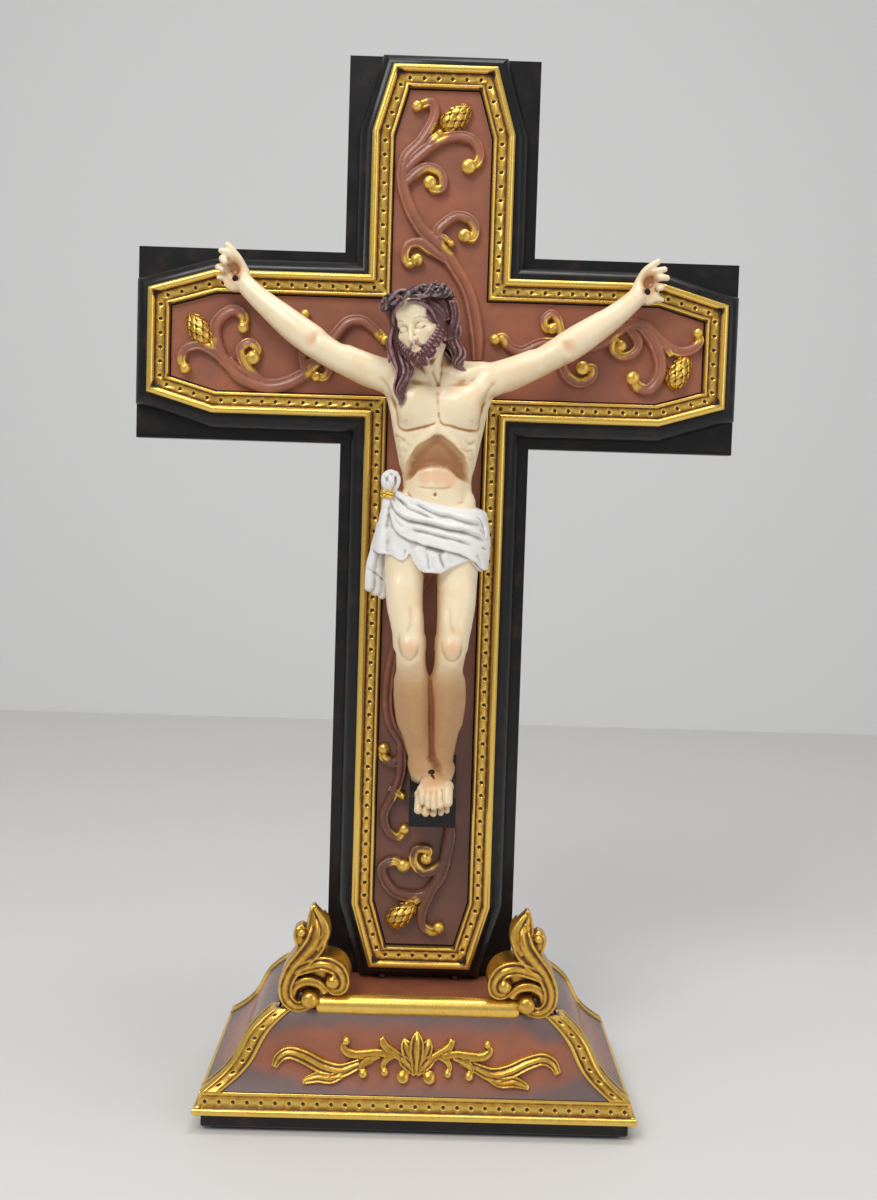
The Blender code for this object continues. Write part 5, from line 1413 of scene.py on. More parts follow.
def addLeg(clay, stations, s):
    clay.chain(stations, 2.6, 3)
    knee = np.array(stations[5][:3])
    clay.egg(knee + (0, 5.6, -2.4), (4.4, 3.0, 4.8), 1.4)
    clay.egg(knee + (0.2, 4.0, -9.2), (3.0, 2.6, 3.4), 1.6)
    low, high = np.array(stations[4][:3]), np.array(stations[3][:3])
    clay.egg(low + (-s * 3.6, 2.2, 1.0), (3.0, 4.4, 5.6), 3.0)
    clay.egg(high + (s * 3.4, 2.6, 2.0), (3.8, 4.8, 9.0), 3.5)
    clay.chain([(*(knee + (-5.4, -0.8, -2.5)), 1.9), (*(knee + (-5.4, -0.8, 1.0)), 1.9)], 2.0)
    clay.chain([(*(knee + (5.4, -0.8, -2.5)), 1.9), (*(knee + (5.4, -0.8, 1.0)), 1.9)], 2.0)
    shin = stations[8:12]
    clay.chain([(x, f + r - 1.5, z, 1.6) for x, f, z, r in shin], 2.2)
    clay.chain([(x + s * 3.4, f - 1.0, z, r * 0.62) for x, f, z, r in shin[:3]], 2.4)
    ankle = np.array(stations[-1][:3])
    for side in (-1, 1):
        clay.egg(ankle + (side * 4.6, -0.5, 2.4), (1.9, 2.2, 2.4), 1.8)


def addFeet(clay):
    # each toe: where it starts and ends, right, forward and up, and its thickness
    front = [((10.0, 26.5, -203.5), (10.6, 33.0, -209.4), 2.7),
             ((6.6, 27.5, -204.6), (7.2, 33.6, -211.0), 1.75),
             ((3.8, 27.4, -205.2), (4.4, 33.2, -211.8), 1.7), ((1.2, 26.8, -205.4), (1.7, 32.0, -211.6), 1.6),
             ((-1.2, 25.4, -205.2), (-1.0, 30.0, -210.4), 1.55)]
    back = [((-1.6, 21.0, -208.6), (-2.6, 28.6, -214.2), 2.3),
            ((1.4, 22.0, -209.4), (0.8, 29.8, -215.4), 1.9),
            ((4.6, 22.0, -209.6), (4.4, 29.4, -215.6), 1.7), ((7.6, 21.0, -209.6), (7.8, 28.0, -215.4), 1.6),
            ((10.0, 19.6, -209.4), (10.6, 26.0, -214.8), 1.5)]
    for toes, ankle, instep, heel in ((front, leftLeg[-1], (3.0, 16.4, -202.6), (-2.4, 7.5, -203.5, 4.2)),
                                      (back, rightLeg[-1], (5.4, 14.5, -204.4), (8.4, 5.6, -206.0, 4.4))):
        clay.chain([ankle, (*instep, 4.6)], 2.6)
        clay.chain([ankle, heel], 2.6)
        for start, end, thick in toes:
            start, end = np.array(start), np.array(end)
            joint = (start + end) / 2 + (0, 0.8, 0.9)
            clay.chain([(*instep, 3.4), (*start, thick + 0.7)], 1.8)
            clay.chain([(*start, thick + 0.4), (*joint, thick), (*end, thick * 0.86)], 0.5)


def addHead(clay):
    clay.chain([(0.4, 11, -20, 6.4), (-1.5, 13.5, -11, 6.0), (-4.4, 18, -2, 5.8), (-5.6, 20, 4, 5.6)], 3.0)
    clay.chain([(1.0, 17.8, -19, 1.0), (-0.6, 20.4, -10, 1.7), (1.6, 20.6, -1, 2.2)], 2.0)
    clay.chain([(0.2, 17.8, -19, 1.0), (-5.0, 20.0, -10, 1.7), (-10.0, 19.0, 0, 2.0)], 2.0)
    clay.inFrame(headTurn, corpus["headPlace"], corpus["headSize"])
    clay.egg((0, -2.0, 3.0), (9.6, 11.8, 10.8), 2.0)
    clay.egg((0, 3.2, -3.0), (8.0, 8.4, 10.2), 3.0)
    clay.egg((0, 3.5, -8.5), (5.8, 6.2, 4.4), 3.0)
    clay.egg((0, 8.2, -11.2), (2.5, 2.3, 2.2), 2.2)
    clay.egg((0, 7.4, 5.8), (6.4, 4.0, 5.0), 3.0)
    for s in (-1, 1):
        clay.chain([(s * 5.8, 8.2, 1.9, 1.1), (s * 3.6, 10.3, 2.7, 1.1), (s * 1.5, 10.8, 2.1, 0.8)], 1.3)
        clay.egg((s * 3.5, 12.2, -0.1), (2.5, 2.4, 1.7), 1.1, hollow=True)
        clay.egg((s * 3.5, 9.2, -0.2), (2.1, 1.75, 1.55), 0.6)
        clay.chain([(s * 5.5, 9.4, -0.5, 0.12), (s * 3.6, 11.1, -1.25, 0.16), (s * 1.8, 10.4, -0.6, 0.12)],
                   0.25, 5, hollow=True)
        clay.egg((s * 5.0, 7.6, -2.6), (2.5, 2.4, 1.7), 2.2)
        clay.egg((s * 1.35, 12.0, -4.3), (0.95, 1.2, 0.85), 0.7)
        clay.egg((s * 0.75, 13.3, -5.35), (0.5, 0.7, 0.4), 0.4, hollow=True)
        clay.egg((s * 8.3, -0.5, -1.2), (1.3, 2.6, 3.4), 1.0)
        clay.egg((s * 7.4, 5.4, 2.6), (1.5, 3.0, 3.0), 2.0, hollow=True)
    clay.chain([(0, 10.2, 2.6, 1.2), (0, 11.8, -0.6, 1.0), (0, 13.2, -3.3, 1.1), (0, 13.5, -4.3, 1.2)], 1.1)
    clay.chain([(0, 12.3, -5.2, 0.55), (0, 11.6, -6.4, 0.5)], 0.8)
    clay.egg((0, 9.4, -7.9), (3.3, 2.3, 1.9), 1.4)
    clay.chain([(-2.4, 10.4, -7.9, 0.4), (-0.8, 11.5, -7.2, 0.62), (0, 11.6, -7.4, 0.55),
                (0.8, 11.5, -7.2, 0.62), (2.4, 10.4, -7.9, 0.4)], 0.7, 3)
    clay.chain([(-2.1, 10.4, -8.5, 0.45), (0, 11.4, -8.85, 0.82), (2.1, 10.4, -8.5, 0.45)], 0.7, 3)
    clay.chain([(-2.5, 11.2, -8.05, 0.16), (0, 12.4, -7.95, 0.18), (2.5, 11.2, -8.05, 0.16)], 0.5, 3,
               hollow=True)
    clay.inFrame(np.eye(3), (0, 0, 0))


def inHead(places):
    return (places - corpus["headPlace"]) @ headTurn / corpus["headSize"]


def isFace(places):
    head = inHead(places)
    return (head[:, 1] > 5.5) & (abs(head[:, 0]) < 7.5) & (head[:, 2] > -13.5) & (head[:, 2] < 6)


def isChest(places):
    x, f, z = places.T
    return (abs(x - 1.4) < 25) & (f > 13) & (z < -12) & (z > -67)


def isFine(places):
    x, f, z = places.T
    hands = (abs(x) > 89) & (z > 22)
    feet = z < -197
    return hands | feet | isFace(places)


# lines seen from the front: (right, up), width and height of the stroke, strength of the painted shade along
# it
torsoStrokes = [
    # lower edge of the breasts and their outer edge up to the armpit
    ([(-17.6, -29), (-17.6, -36.5), (-16.2, -39.3), (-13.9, -40.4), (-11.6, -40.3), (-7, -39.2),
      (-3.4, -38.2), (-0.7, -37.2), (0.2, -35.8)], 0.8, -0.5, 0.45),
    ([(1.6, -33.6), (2.2, -36), (3.6, -37.4), (6.6, -37.9), (11.2, -39.1), (15.8, -39.7), (19, -39.3),
      (20.3, -37.5), (20.5, -30.2)], 0.8, -0.5, 0.45),
    ([(-27, -15.5), (-23.7, -18.5), (-21.8, -21.2), (-19.8, -26.6), (-18.3, -32)], 1, -0.35, 0.4),
    ([(27.6, -16), (24.5, -19.7), (22.8, -23), (21.5, -27.6), (20.8, -32.2)], 1, -0.35, 0.4),
    # middle line
    ([(0.3, -21), (0.5, -26.5), (0.9, -32)], 1.3, -0.2, 0.06),
    ([(1.2, -31.6), (1.4, -34.6)], 0.6, -0.25, 0.3),
    # arch of the ribs
    ([(-12.4, -53.2), (-9.9, -50.7), (-8.6, -48.4), (-6.8, -46.8), (-4.6, -45.6), (-2.3, -44.2),
      (-0.5, -42.7), (1.2, -41.5)], 0.7, -0.5, 0.75),
    ([(1.2, -41.5), (3.1, -42.9), (5.4, -44.4), (7.8, -46.1), (9.7, -47.9), (11.1, -49.2), (13, -50.9),
      (15, -53.2)], 0.7, -0.5, 0.75),
    ([(-11, -48.6), (-8.2, -45.4), (-4, -42.8), (0.8, -39.8)], 1.5, 0.45, 0),
    ([(1.8, -39.8), (5.8, -42.4), (10.4, -46), (14, -50)], 1.5, 0.45, 0),
    # crease of the belly
    ([(-8.1, -65.8), (-3.9, -66.4), (0.6, -66.5), (5.2, -66.3), (8.8, -65.4)], 0.7, -0.4, 0.45),
    # spaces between the ribs at both sides
    ([(-19.2, -42.2), (-16.2, -43.3), (-13.3, -45.5)], 0.6, -0.35, 0.5),
    ([(-17.8, -47.2), (-13, -49.4)], 0.8, -0.35, 0.2),
    ([(-16.8, -51.6), (-13.6, -53.4)], 0.8, -0.3, 0.2),
    ([(13.4, -43.6), (16.1, -45.5), (19, -43.8)], 0.7, -0.35, 0.3),
    ([(11.5, -47.4), (14.4, -49), (18.6, -48)], 0.7, -0.35, 0.3),
    ([(14.6, -53.2), (18.8, -52)], 0.8, -0.3, 0.25),
    # neck
    ([(-2.8, -12.6), (-1.2, -15.4), (0.2, -18.4), (0.6, -20.4)], 0.8, -0.4, 0.5),
    ([(2, -12.6), (1.5, -17), (1.1, -20.4)], 0.8, -0.3, 0.3),
    ([(5.5, -14.6), (9.5, -16.6), (14, -16.4)], 1, -0.3, 0.2),
    # nipples
    ([(-13.8, -35.9), (-13.2, -35.9)], 0.45, 0.3, 0), ([(16.3, -35.4), (16.9, -35.4)], 0.45, 0.3, 0),
    # kneecaps, calves and shins
    ([(-13.8, -132), (-13.6, -138), (-11.8, -143), (-8.6, -144.8), (-5.6, -142.4), (-4.6, -137)],
     0.8, -0.4, 0.5),
    ([(5.8, -133), (6, -139), (8.2, -143.6), (11.4, -144.8), (14.4, -141.6), (15.2, -135)], 0.8, -0.4, 0.5),
    ([(-12.4, -150), (-12.8, -160), (-10.6, -172), (-7.8, -184)], 1.3, -0.3, 0.45),
    ([(14.6, -150), (15, -160), (13.8, -172), (12.2, -184)], 1.3, -0.3, 0.45),
    ([(-9.2, -120), (-8.8, -128), (-10.4, -133)], 1.2, -0.25, 0.3),
    ([(9, -120), (9.6, -128), (11.6, -133)], 1.2, -0.25, 0.3),
    ([(-3.6, -150), (-3, -165), (-1.6, -184)], 1, 0.35, 0),
    ([(8.6, -150), (8.8, -165), (8.6, -184)], 1, 0.3, 0),
]
ribArch = [(-19, -58), (-15, -56), (-12.4, -53.2), (-9.9, -50.7), (-8.6, -48.4), (-6.8, -46.8), (-4.6, -45.6),
           (-2.3, -44.2), (-0.5, -42.7), (1.2, -41.5), (3.1, -42.9), (5.4, -44.4), (7.8, -46.1), (9.7, -47.9),
           (11.1, -49.2), (13, -50.9), (15, -53.2), (17.8, -57), (21, -60)]
bellyTop = [(-19, -67), (-13.6, -64), (-10.9, -62.6), (-9.1, -60.7), (-7.4, -58.8), (-4.2, -57.8), (-1, -57),
            (2.6, -56.9), (5.9, -57.5), (8.2, -58.8), (10.6, -61), (13.8, -62.7), (16.6, -64), (21, -67)]
# blood: (right, forward, up) lines with a half width; pink places: middle and reach
bloodLines = [
    ([(-16.2, 14, -43.4), (-13.8, 17, -45.2)], 0.6), ([(-15.7, 15, -45.4), (-15.3, 14, -50)], 0.4),
    ([(2.9, 19.6, -198.8), (4.2, 22.5, -200.6), (5.2, 25, -202.2)], 0.7),
    ([(3.4, 21, -199.8), (6.6, 25, -202.6)], 0.5),
    ([(-94.4, 7, 26), (-94, 6, 23.4)], 0.8), ([(96.4, 7, 26), (96, 6, 23.2)], 0.7),
]
pinkPlaces = [
    ((-8.9, 30, -139), 6), ((10.4, 30, -139), 6), ((-58, 16, 0), 5.5), ((60, 16, 1), 5.5),
    ((-94.5, 7, 29), 6.5), ((96.5, 7, 29), 6.5), ((2.8, 28, -203), 7), ((-4, 20, -61.5), 5.5),
    ((1.6, 21, -61), 6), ((7, 20, -61.5), 5.5), ((-13.5, 22, -35.9), 1.3), ((16.6, 22, -35.4), 1.3),
]
# brows, lashes and lips in the head's own frame: line, half width
browLines = [[(1.7, 11.0, 2.4), (3.6, 10.8, 3.3), (6.1, 9.0, 2.3)],
             [(1.8, 11.0, -0.7), (3.6, 11.2, -1.4), (5.5, 10.0, -0.6)]]


# sinks the belly under the arch of the ribs and returns how far each point lies into that hollow, which is
# painted as shade
def hollowBelly(piece):
    places, normals = toFigure(meshOf(piece)[0]), normalsOf(piece)
    x, f, z = places.T
    arch = np.interp(x, *np.array(ribArch).T)
    belly = np.interp(x, *np.array(bellyTop).T)
    under = np.clip((arch - z) / np.maximum(arch - belly, 1), 0, 1.4)
    side = np.clip((17 - abs(x - 1.4)) / 6, 0, 1) * (f > 10)
    sunk = (1 - np.exp(-np.clip(arch - z, 0, 99) / 1.4)) * np.clip((1.08 - under) / 0.3, 0, 1) * side
    writePlaces(piece, fromFigure(places) + normals * (sunk * -1.5 * mm)[:, None])
    inside = np.clip((arch - z) / 0.8, 0, 1) * np.clip((1.06 - under) / 0.16, 0, 1)
    return inside * side * (0.55 + 0.45 * under)


def paintBody(piece, shadow):
    places, edges = meshOf(piece)
    figure = toFigure(places)
    normals = normalsOf(piece)
    broad = np.einsum("ij,ij->i", places - relaxed(places, edges, 260), normals) / (2.0 * mm)
    fine = np.einsum("ij,ij->i", places - relaxed(places, edges, 24), normals) / (0.5 * mm)
    relief = fine * 0.6 + broad * 0.5
    # hands and feet get deeper hollows in the mark, for darker painted shade between fingers and toes
    limbs = isFine(figure) & ~isFace(figure)
    addMark(piece, "relief", np.clip(np.where(limbs & (relief < 0), relief * 1.1, relief), -1, 1))
    blood = np.zeros(len(figure))
    for line, half in bloodLines:
        blood = np.maximum(blood, 1 - awayFrom(figure, line)[0] / (half * 2))
    addMark(piece, "blood", np.clip(blood, 0, 1))
    pink = np.zeros(len(figure))
    for middle, reach in pinkPlaces:
        pink = np.maximum(pink, 1 - np.sqrt(((figure - middle) ** 2).sum(1)) / reach)
    head = inHead(figure)
    x, f, z = head.T
    lips = np.sqrt((x / 2.6) ** 2 + ((z + 8.1) / 1.3) ** 2 + ((f - 11.5) / 2.5) ** 2)
    pink = np.maximum(pink, (1.1 - lips) * 0.6)
    addMark(piece, "pink", np.clip(pink * 1.6, 0, 1))
    front = (normals[:, 1] < -0.15) & (figure[:, 1] > 8)
    # painted shade from the knees down, between the legs and under the arms
    x, f, z = figure.T
    shins = np.clip((-138 - z) / 24, 0, 1) * np.clip((z + 206) / 8, 0.35, 1)
    between = np.exp(-((x - 1.3) / 5.0) ** 2) * np.clip((-104 - z) / 10, 0, 1)
    under = np.clip(-normals[:, 2] - 0.35, 0, 1) * (abs(x) > 24)
    shadow = np.maximum(shadow, np.maximum(np.maximum(shins * 0.60, between * 0.5 * (z > -197)), under * 0.6))
    # painted shade along the creases of the strokes
    for line, width, height, wash in torsoStrokes:
        if wash:
            path = softPath(line, 4) if len(line) > 2 else np.asarray(line, float)
            far, share = awayFrom(figure[:, (0, 2)], path)
            fade = np.clip(np.minimum(share, 1 - share) * 6 + 0.2, 0, 1)
            shadow = np.maximum(shadow, 0.8 * wash * fade * front * np.exp(-(far / (width * 0.9)) ** 2))
    # painted shade in the hollow of each palm
    for s in (-1, 1):
        palm = nailHead(s) + np.array((s * 1.0, 0, 4.6))
        reach = np.sqrt((((figure - palm) / (5.4, 9.0, 7.0)) ** 2).sum(1))
        shadow = np.maximum(shadow, np.clip(1 - reach, 0, 1) ** 0.8 * 0.8 * (normals[:, 1] < 0))
    addMark(piece, "shadow", np.clip(shadow, 0, 1))
    dark = np.zeros(len(figure))
    for line in browLines:
        for s in (-1, 1):
            far = awayFrom(head, softPath([(s * x, f, z) for x, f, z in line], 4))[0]
            dark = np.maximum(dark, 1 - far / (0.75 if line is browLines[0] else 0.4))
    addMark(piece, "brow", np.clip(dark * 1.5, 0, 1))


def addCorpus():
    clay = Clay()
    addTrunk(clay)
    for s, arm, hand, leg in ((-1, leftArm, leftHand, leftLeg), (1, rightArm, rightHand, rightLeg)):
        addArm(clay, arm, s)
        addHand(clay, hand, s)
        addLeg(clay, leg, s)
    addFeet(clay)
    addHead(clay)
    body = clay.skin("corpus", corpus["step"])
    refine(body, clay, isFine)
    refine(body, clay, isFace)
    refine(body, clay, isChest)
    shadow = hollowBelly(body)
    strokeFront(body, [stroke[:3] for stroke in torsoStrokes])
    paintBody(body, shadow)
    finishPiece(body, paints["skin"], "flesh_paint", "corpus_body", "arm_left", "arm_right", angle=180)


addCorpus()
print("corpus made")


# Loincloth: a sash pulled in pleats to a knot at the hip, a skirt under it, a flap and a hanging end

cloth = {"step": 0.45, "flat": 1.76, "sash": 1.5, "loose": 1.3}
# right, forward, up and depth of the cloth round the hips
clothCore = [(2.2, 11, -66, 10.3), (2.3, 11, -71, 11), (2.4, 11.4, -77, 11.5), (2.6, 12.6, -84, 12),
             (2.8, 14, -92, 12.4), (2.6, 15.6, -100, 12.2), (2.6, 16.6, -108, 11.8)]
clothTop = [(-34, -61), (-25, -64.5), (-19.5, -67.2), (-15.3, -69.1), (-10.7, -70.8), (-6.1, -72),
            (-1.4, -73.3), (3.2, -74), (7.8, -74.8), (12.4, -75.4), (20, -75.8), (26, -77.6), (34, -78)]
sashEdge = [(-34, -76), (-20.5, -78), (-19, -81.1), (-18.4, -83.8), (-17, -86), (-14.7, -88.2),
            (-12.4, -89.5), (-10, -90.6), (-7.3, -91), (-4.5, -92.3), (-0.9, -93.3), (3.7, -94.3),
            (8.3, -95.1), (12.9, -96.1), (16.6, -97.8), (20.3, -99.9), (22.2, -102.2), (24.1, -103.5),
            (34, -104)]
clothHem = [(-34, -95.5), (-27.2, -95.5), (-24.5, -97), (-20.8, -97.3), (-18.1, -97.9), (-15.3, -99.7),
            (-13.4, -100.1), (-11.2, -98.6), (-10.3, -96.6), (-9.4, -97.7), (-7.9, -100.8), (-5.6, -104),
            (-2.8, -105), (0.9, -105.1), (4.5, -105.2), (6.8, -103.8), (10.8, -101.6), (15.3, -99.7),
            (17.6, -98.9), (19.6, -101.5), (22.2, -104), (34, -104.6)]
tailEdge = [(-34, -103.5), (-30.3, -105.6), (-28.3, -109.2), (-23.6, -112.1), (-21, -114.6), (-17, -116.5)]
# pleats seen from the front: (right, up), lip above the line, groove below it, width
pleats = [
    ([(-19.4, -71.5), (-18.7, -74.7), (-17.3, -77.2), (-14.9, -79.2), (-12.6, -80.5), (-10.3, -81.3),
      (-5.7, -82), (-1.2, -82.7), (3.4, -83.8), (8, -84.8), (12.6, -85.3), (17.2, -86.4), (21.8, -88.3),
      (26, -91)], 1.1, 1.1, 1.5),
    ([(-9.5, -85), (-7.5, -85.5), (-3.3, -86.3), (1.2, -87.3), (5.8, -88.4), (10.4, -89.3), (14.1, -90.3),
      (18.3, -91.8)], 0.6, 0.9, 1.1),
    ([(-7.5, -73.4), (-5.5, -74.6), (-1.3, -76.9), (3.3, -78.4), (7.9, -78.9), (12.5, -80.4), (18, -81.6),
      (23, -82.4)], 0.8, 0.7, 1.3),
    ([(-17.6, -70.7), (-16.6, -71.5), (-12.8, -73.6), (-11.4, -75.4), (-8.2, -76.7), (-5, -77.9),
      (-1.7, -79.4), (2, -80.6)], 0.5, 0.6, 1),
    # skirt
    ([(-2.2, -94), (-1.4, -98), (-0.6, -104.8)], 0, 0.35, 1.5),
    ([(21, -78.4), (23.6, -82.6), (25, -88.4)], 0.4, 0.5, 0.9),
]
foldStrokes = [
    ([(3.6, -96), (4.2, -99), (6.6, -104)], 0.7, -0.8),
    ([(5.6, -96), (6.6, -99), (8.6, -102.4)], 0.9, 0.4),
    ([(-7.2, -93), (-5.4, -98), (-3.4, -104)], 1.7, 0.6), ([(1.4, -96), (2.2, -99), (3.4, -104.6)], 1.3, 0.5),
    ([(-3.4, -93.4), (1, -94.6), (6.4, -95.8)], 1.3, -0.7),
    # flap over the thigh
    ([(-20.2, -75), (-20.6, -80.2), (-21.4, -86)], 0.8, -0.7),
    ([(-21.8, -78), (-23, -86), (-24.6, -96)], 1.5, 0.5),
    ([(-18.8, -84), (-18, -90), (-17.6, -97.6)], 1.7, 0.4),
    ([(-12, -94.6), (-12.4, -97), (-12.6, -99.8)], 0.8, -0.45),
    ([(-20.4, -90), (-20.6, -97)], 1.1, -0.3),
    # pull marks beside the knot
    ([(-19, -69.6), (-15.6, -72.2), (-13, -75)], 0.45, -0.4),
    ([(-18.6, -71.6), (-16.4, -75), (-14, -77.4)], 0.45, -0.35),
    ([(-18.6, -78.6), (-16.4, -82.4), (-13, -85)], 0.7, -0.35), ([(-17.4, -75.6), (-13.6, -78)], 0.5, -0.3),
    # crumpled right edge
    ([(22, -84), (24.4, -88), (26.4, -90.6)], 0.7, -0.5), ([(23, -93), (25.6, -94)], 0.6, -0.5),
    ([(20.6, -96), (22.6, -99.4), (23.4, -103.2)], 0.9, -0.5),
    # knot
    ([(-23.4, -61.4), (-21.6, -63.2), (-19.8, -65.8)], 0.5, -0.5),
    ([(-22, -59.6), (-19.4, -60.6), (-18.2, -63)], 0.5, -0.4),
    # turned edge of the hanging end
    ([(-30.3, -104.8), (-27.5, -105.6), (-23.7, -108.3), (-21.3, -110.6)], 0.6, -0.7),
]


def belowLine(line):
    across, heights = np.array(line).T

    def measure(p):
        return p[..., 2] - np.interp(p[..., 0], across, heights)

    return measure


def thicker(stations, more):
    return [(x, f, z, r + more) for x, f, z, r in stations]


def addLoincloth():
    clay = Clay()
    flat = (cloth["flat"], 1, 1)
    far = [(-34, -8, -125), (34, 42, -125)]
    over = cloth["sash"] + cloth["loose"]
    clay.chain(thicker(clothCore, cloth["sash"]), 2.0, 3, flat)
    clay.chain(thicker(leftLeg[:3], over), 2.0)
    clay.chain(thicker(rightLeg[:3], over), 2.0)
    clay.put(belowLine(sashEdge), far + [(-34, -8, -74), (34, 42, -74)], 1, 0.6, True)
    clay.chain(clothCore[2:], 0.5, 3, flat)
    clay.chain(thicker(leftLeg[:4], cloth["loose"]), 1.0)
    clay.chain(thicker(rightLeg[:4], cloth["loose"]), 1.0)
    # flap hanging from the knot over the outside of the thigh
    clay.chain([(-20.6, 15.0, -70, 1.8), (-20.9, 15.0, -76, 2.9), (-20.9, 15.0, -84, 4.6),
                (-20.9, 15.0, -92, 6.2), (-20.6, 15.0, -100, 7.2)], 2.0, 4)
    clay.put(belowLine(clothHem), far + [(-34, -8, -94), (34, 42, -94)], 1, 0.5, True)
    topX, topZ = np.array(clothTop).T

    def aboveTop(p):
        behind = np.clip(20 - p[..., 1], 0, 30)
        return np.interp(p[..., 0], topX, topZ) + 0.10 * behind - p[..., 2]

    clay.put(aboveTop, [(-34, -8, -80), (34, 42, -50)], 1, 1.0, True)
    # room under the skirt round the thighs
    clay.egg((1.2, 15.0, -112), (24.0, 12.0, 9.5), 1.2, hollow=True)
    # hanging end behind the flap
    for line in (
        [(-24.4, 11.5, -84, 1.6), (-26.8, 11.0, -97, 2.2), (-28.0, 11.0, -104, 2.5),
         (-28.4, 11.0, -113.0, 2.4)],
        [(-23.4, 10.0, -84, 1.6), (-24.4, 9.8, -97, 2.2), (-24.8, 9.6, -105, 2.6), (-24.8, 9.4, -115, 2.4)],
        [(-21.4, 9.0, -86, 1.4), (-21.8, 8.8, -98, 1.8), (-22.4, 8.6, -106, 2.0), (-22.4, 8.6, -117, 2.0)],
    ):
        clay.chain(line, 0.8, 4)
    clay.put(belowLine(tailEdge), far, 1, 0.4, True)
    # knot: a neck, rolls above the cord and the dark hollow between them
    clay.chain([(-21.2, 15.4, -75.0, 2.2), (-21.2, 15.4, -69.6, 1.9), (-20.9, 15.4, -66.4, 2.4)], 1.2, 4)
    clay.chain([(-21.0, 15.8, -67.4, 1.8), (-22.3, 16.4, -64.4, 1.9), (-22.2, 16.4, -61.4, 1.9),
                (-20.0, 16.4, -60.1, 1.8), (-18.0, 16.0, -60.6, 1.6)], 0.6, 4)
    clay.chain([(-20.6, 17.4, -67.0, 1.5), (-19.8, 18.4, -64.4, 1.8), (-19.6, 18.2, -62.4, 1.7)], 0.5, 4)
    clay.chain([(-19.0, 15.6, -68.4, 1.2), (-17.0, 16.2, -65.6, 1.2), (-16.5, 16.0, -62.6, 1.2),
                (-17.6, 16.0, -60.4, 1.3)], 0.5, 4)
    clay.egg((-17.5, 18.0, -63.4), (0.6, 2.4, 2.2), 0.5, hollow=True)
    clay.egg((-20.0, 13.6, -63.4), (3.4, 2.6, 4.0), 1.5)
    piece = clay.skin("loincloth", cloth["step"])
    pleatFront(piece, pleats, 0.02)
    strokeFront(piece, foldStrokes, 0.02)
    places, normals = meshOf(piece)[0], normalsOf(piece)
    x, _, z = toFigure(places).T
    wave = np.sin(x * 0.55 + np.sin(z * 0.33) * 2.1) * np.sin(z * 0.42 + x * 0.21)
    writePlaces(piece, places + normals * (wave * 0.12 * mm)[:, None])
    markRelief(piece, passes=30, depth=0.7 * mm, bias=0.05)
    finishPiece(piece, paints["linen"], "linen_paint", "loincloth", angle=180)


# Two-strand rope wound round the neck of the knot
def addCord():
    skins = []
    turns, radius, strand, steps = 2.6, 2.35, 0.72, 180
    middle = np.array((-21.2, 15.4, -69.7))
    up = np.array((0, 0, 1))
    for phase in (0, math.pi):
        loops = []
        for k in range(steps + 1):
            a = 2 * math.pi * turns * k / steps
            outward = np.array((math.sin(a), math.cos(a), 0))
            core = middle + outward * radius + up * (2.0 - 4.0 * k / steps)
            twist = a * 4 + phase
            centre = core + (outward * math.cos(twist) + up * math.sin(twist)) * strand * 0.6
            loops.append(fromFigure([centre + (outward * math.cos(b) + up * math.sin(b)) * strand
                                     for b in np.linspace(0, 2 * math.pi, 8, endpoint=False)]))
        skins.append(loft(loops))
    piece = joinedSkins("waistCord", skins)
    markRelief(piece, passes=3, depth=0.2 * mm, bias=0.45)
    finishPiece(piece, paints["gold"], "antique_gilt", "waist_cord", angle=180)


addLoincloth()
addCord()
print("loincloth and cord made")


# Hair, beard and crown of thorns, in the head's own frame: right, forward and up from its middle

hair = {"strand": 1.0, "voxel": 0.32 * mm}
# locks in the figure's space: right, forward, up and half width
leftLock = [(-22.2, 22, 13, 2.8), (-20.9, 22.6, 7.5, 2.4), (-19.6, 22.8, 3, 3), (-17.9, 22.8, -3, 4.8),
            (-16.6, 23, -9, 4.9), (-15.6, 23.6, -14.5, 4.5), (-15.4, 23.8, -19, 3.7), (-15.8, 23.6, -23, 2.7),
            (-16, 23, -26.4, 1.9), (-16.8, 22.6, -29.4, 0.7)]
leftBackLock = [(-14, 13.5, 7, 4.6), (-16.6, 15, 0, 4.8), (-18, 16, -8, 4.4), (-17.6, 17.5, -15, 3.4),
                (-17, 18.5, -20, 1.8)]
rightLock = [(5, 27.4, 17.5, 2.8), (6.1, 26.2, 10.5, 2.5), (7.3, 24.6, 4, 2.7), (8.6, 22.6, -1.5, 3),
             (9.5, 20.8, -5.6, 3.3), (10, 19.6, -9.2, 2.6), (12.8, 18.4, -12.6, 0.8)]
rightBackLock = [(4, 17.5, 11, 5), (6, 16, 3, 4.6), (7.6, 15.5, -4, 4), (9.4, 15, -10.5, 2.2)]


def fromHead(places):
    return np.asarray(places, float) @ headTurn.T * corpus["headSize"] + corpus["headPlace"]


# a round tapered tube along figure places; stations hold right, forward, up and radius
def tube(stations, sides=8, steps=3):
    path = softPath(stations, steps)
    ahead = np.gradient(path[:, :3], axis=0)
    loops = []
    side = np.array((0.31, 0.2, 0.93))
    for (x, f, z, r), direction in zip(path, ahead):
        direction = direction / max(np.linalg.norm(direction), 1e-9)
        side = side - direction * (side @ direction)
        side = side / max(np.linalg.norm(side), 1e-9)
        other = np.cross(direction, side)
        loops.append(fromFigure([np.array((x, f, z)) + (side * math.cos(a) + other * math.sin(a)) * r
                                 for a in np.linspace(0, 2 * math.pi, sides, endpoint=False)]))
    return loft(loops)


# the same for places in the head's frame; radii stay in millimetres
def headTube(line, radii, steps=3):
    return tube([(*p, r) for p, r in zip(fromHead(line), radii)], 7, steps)


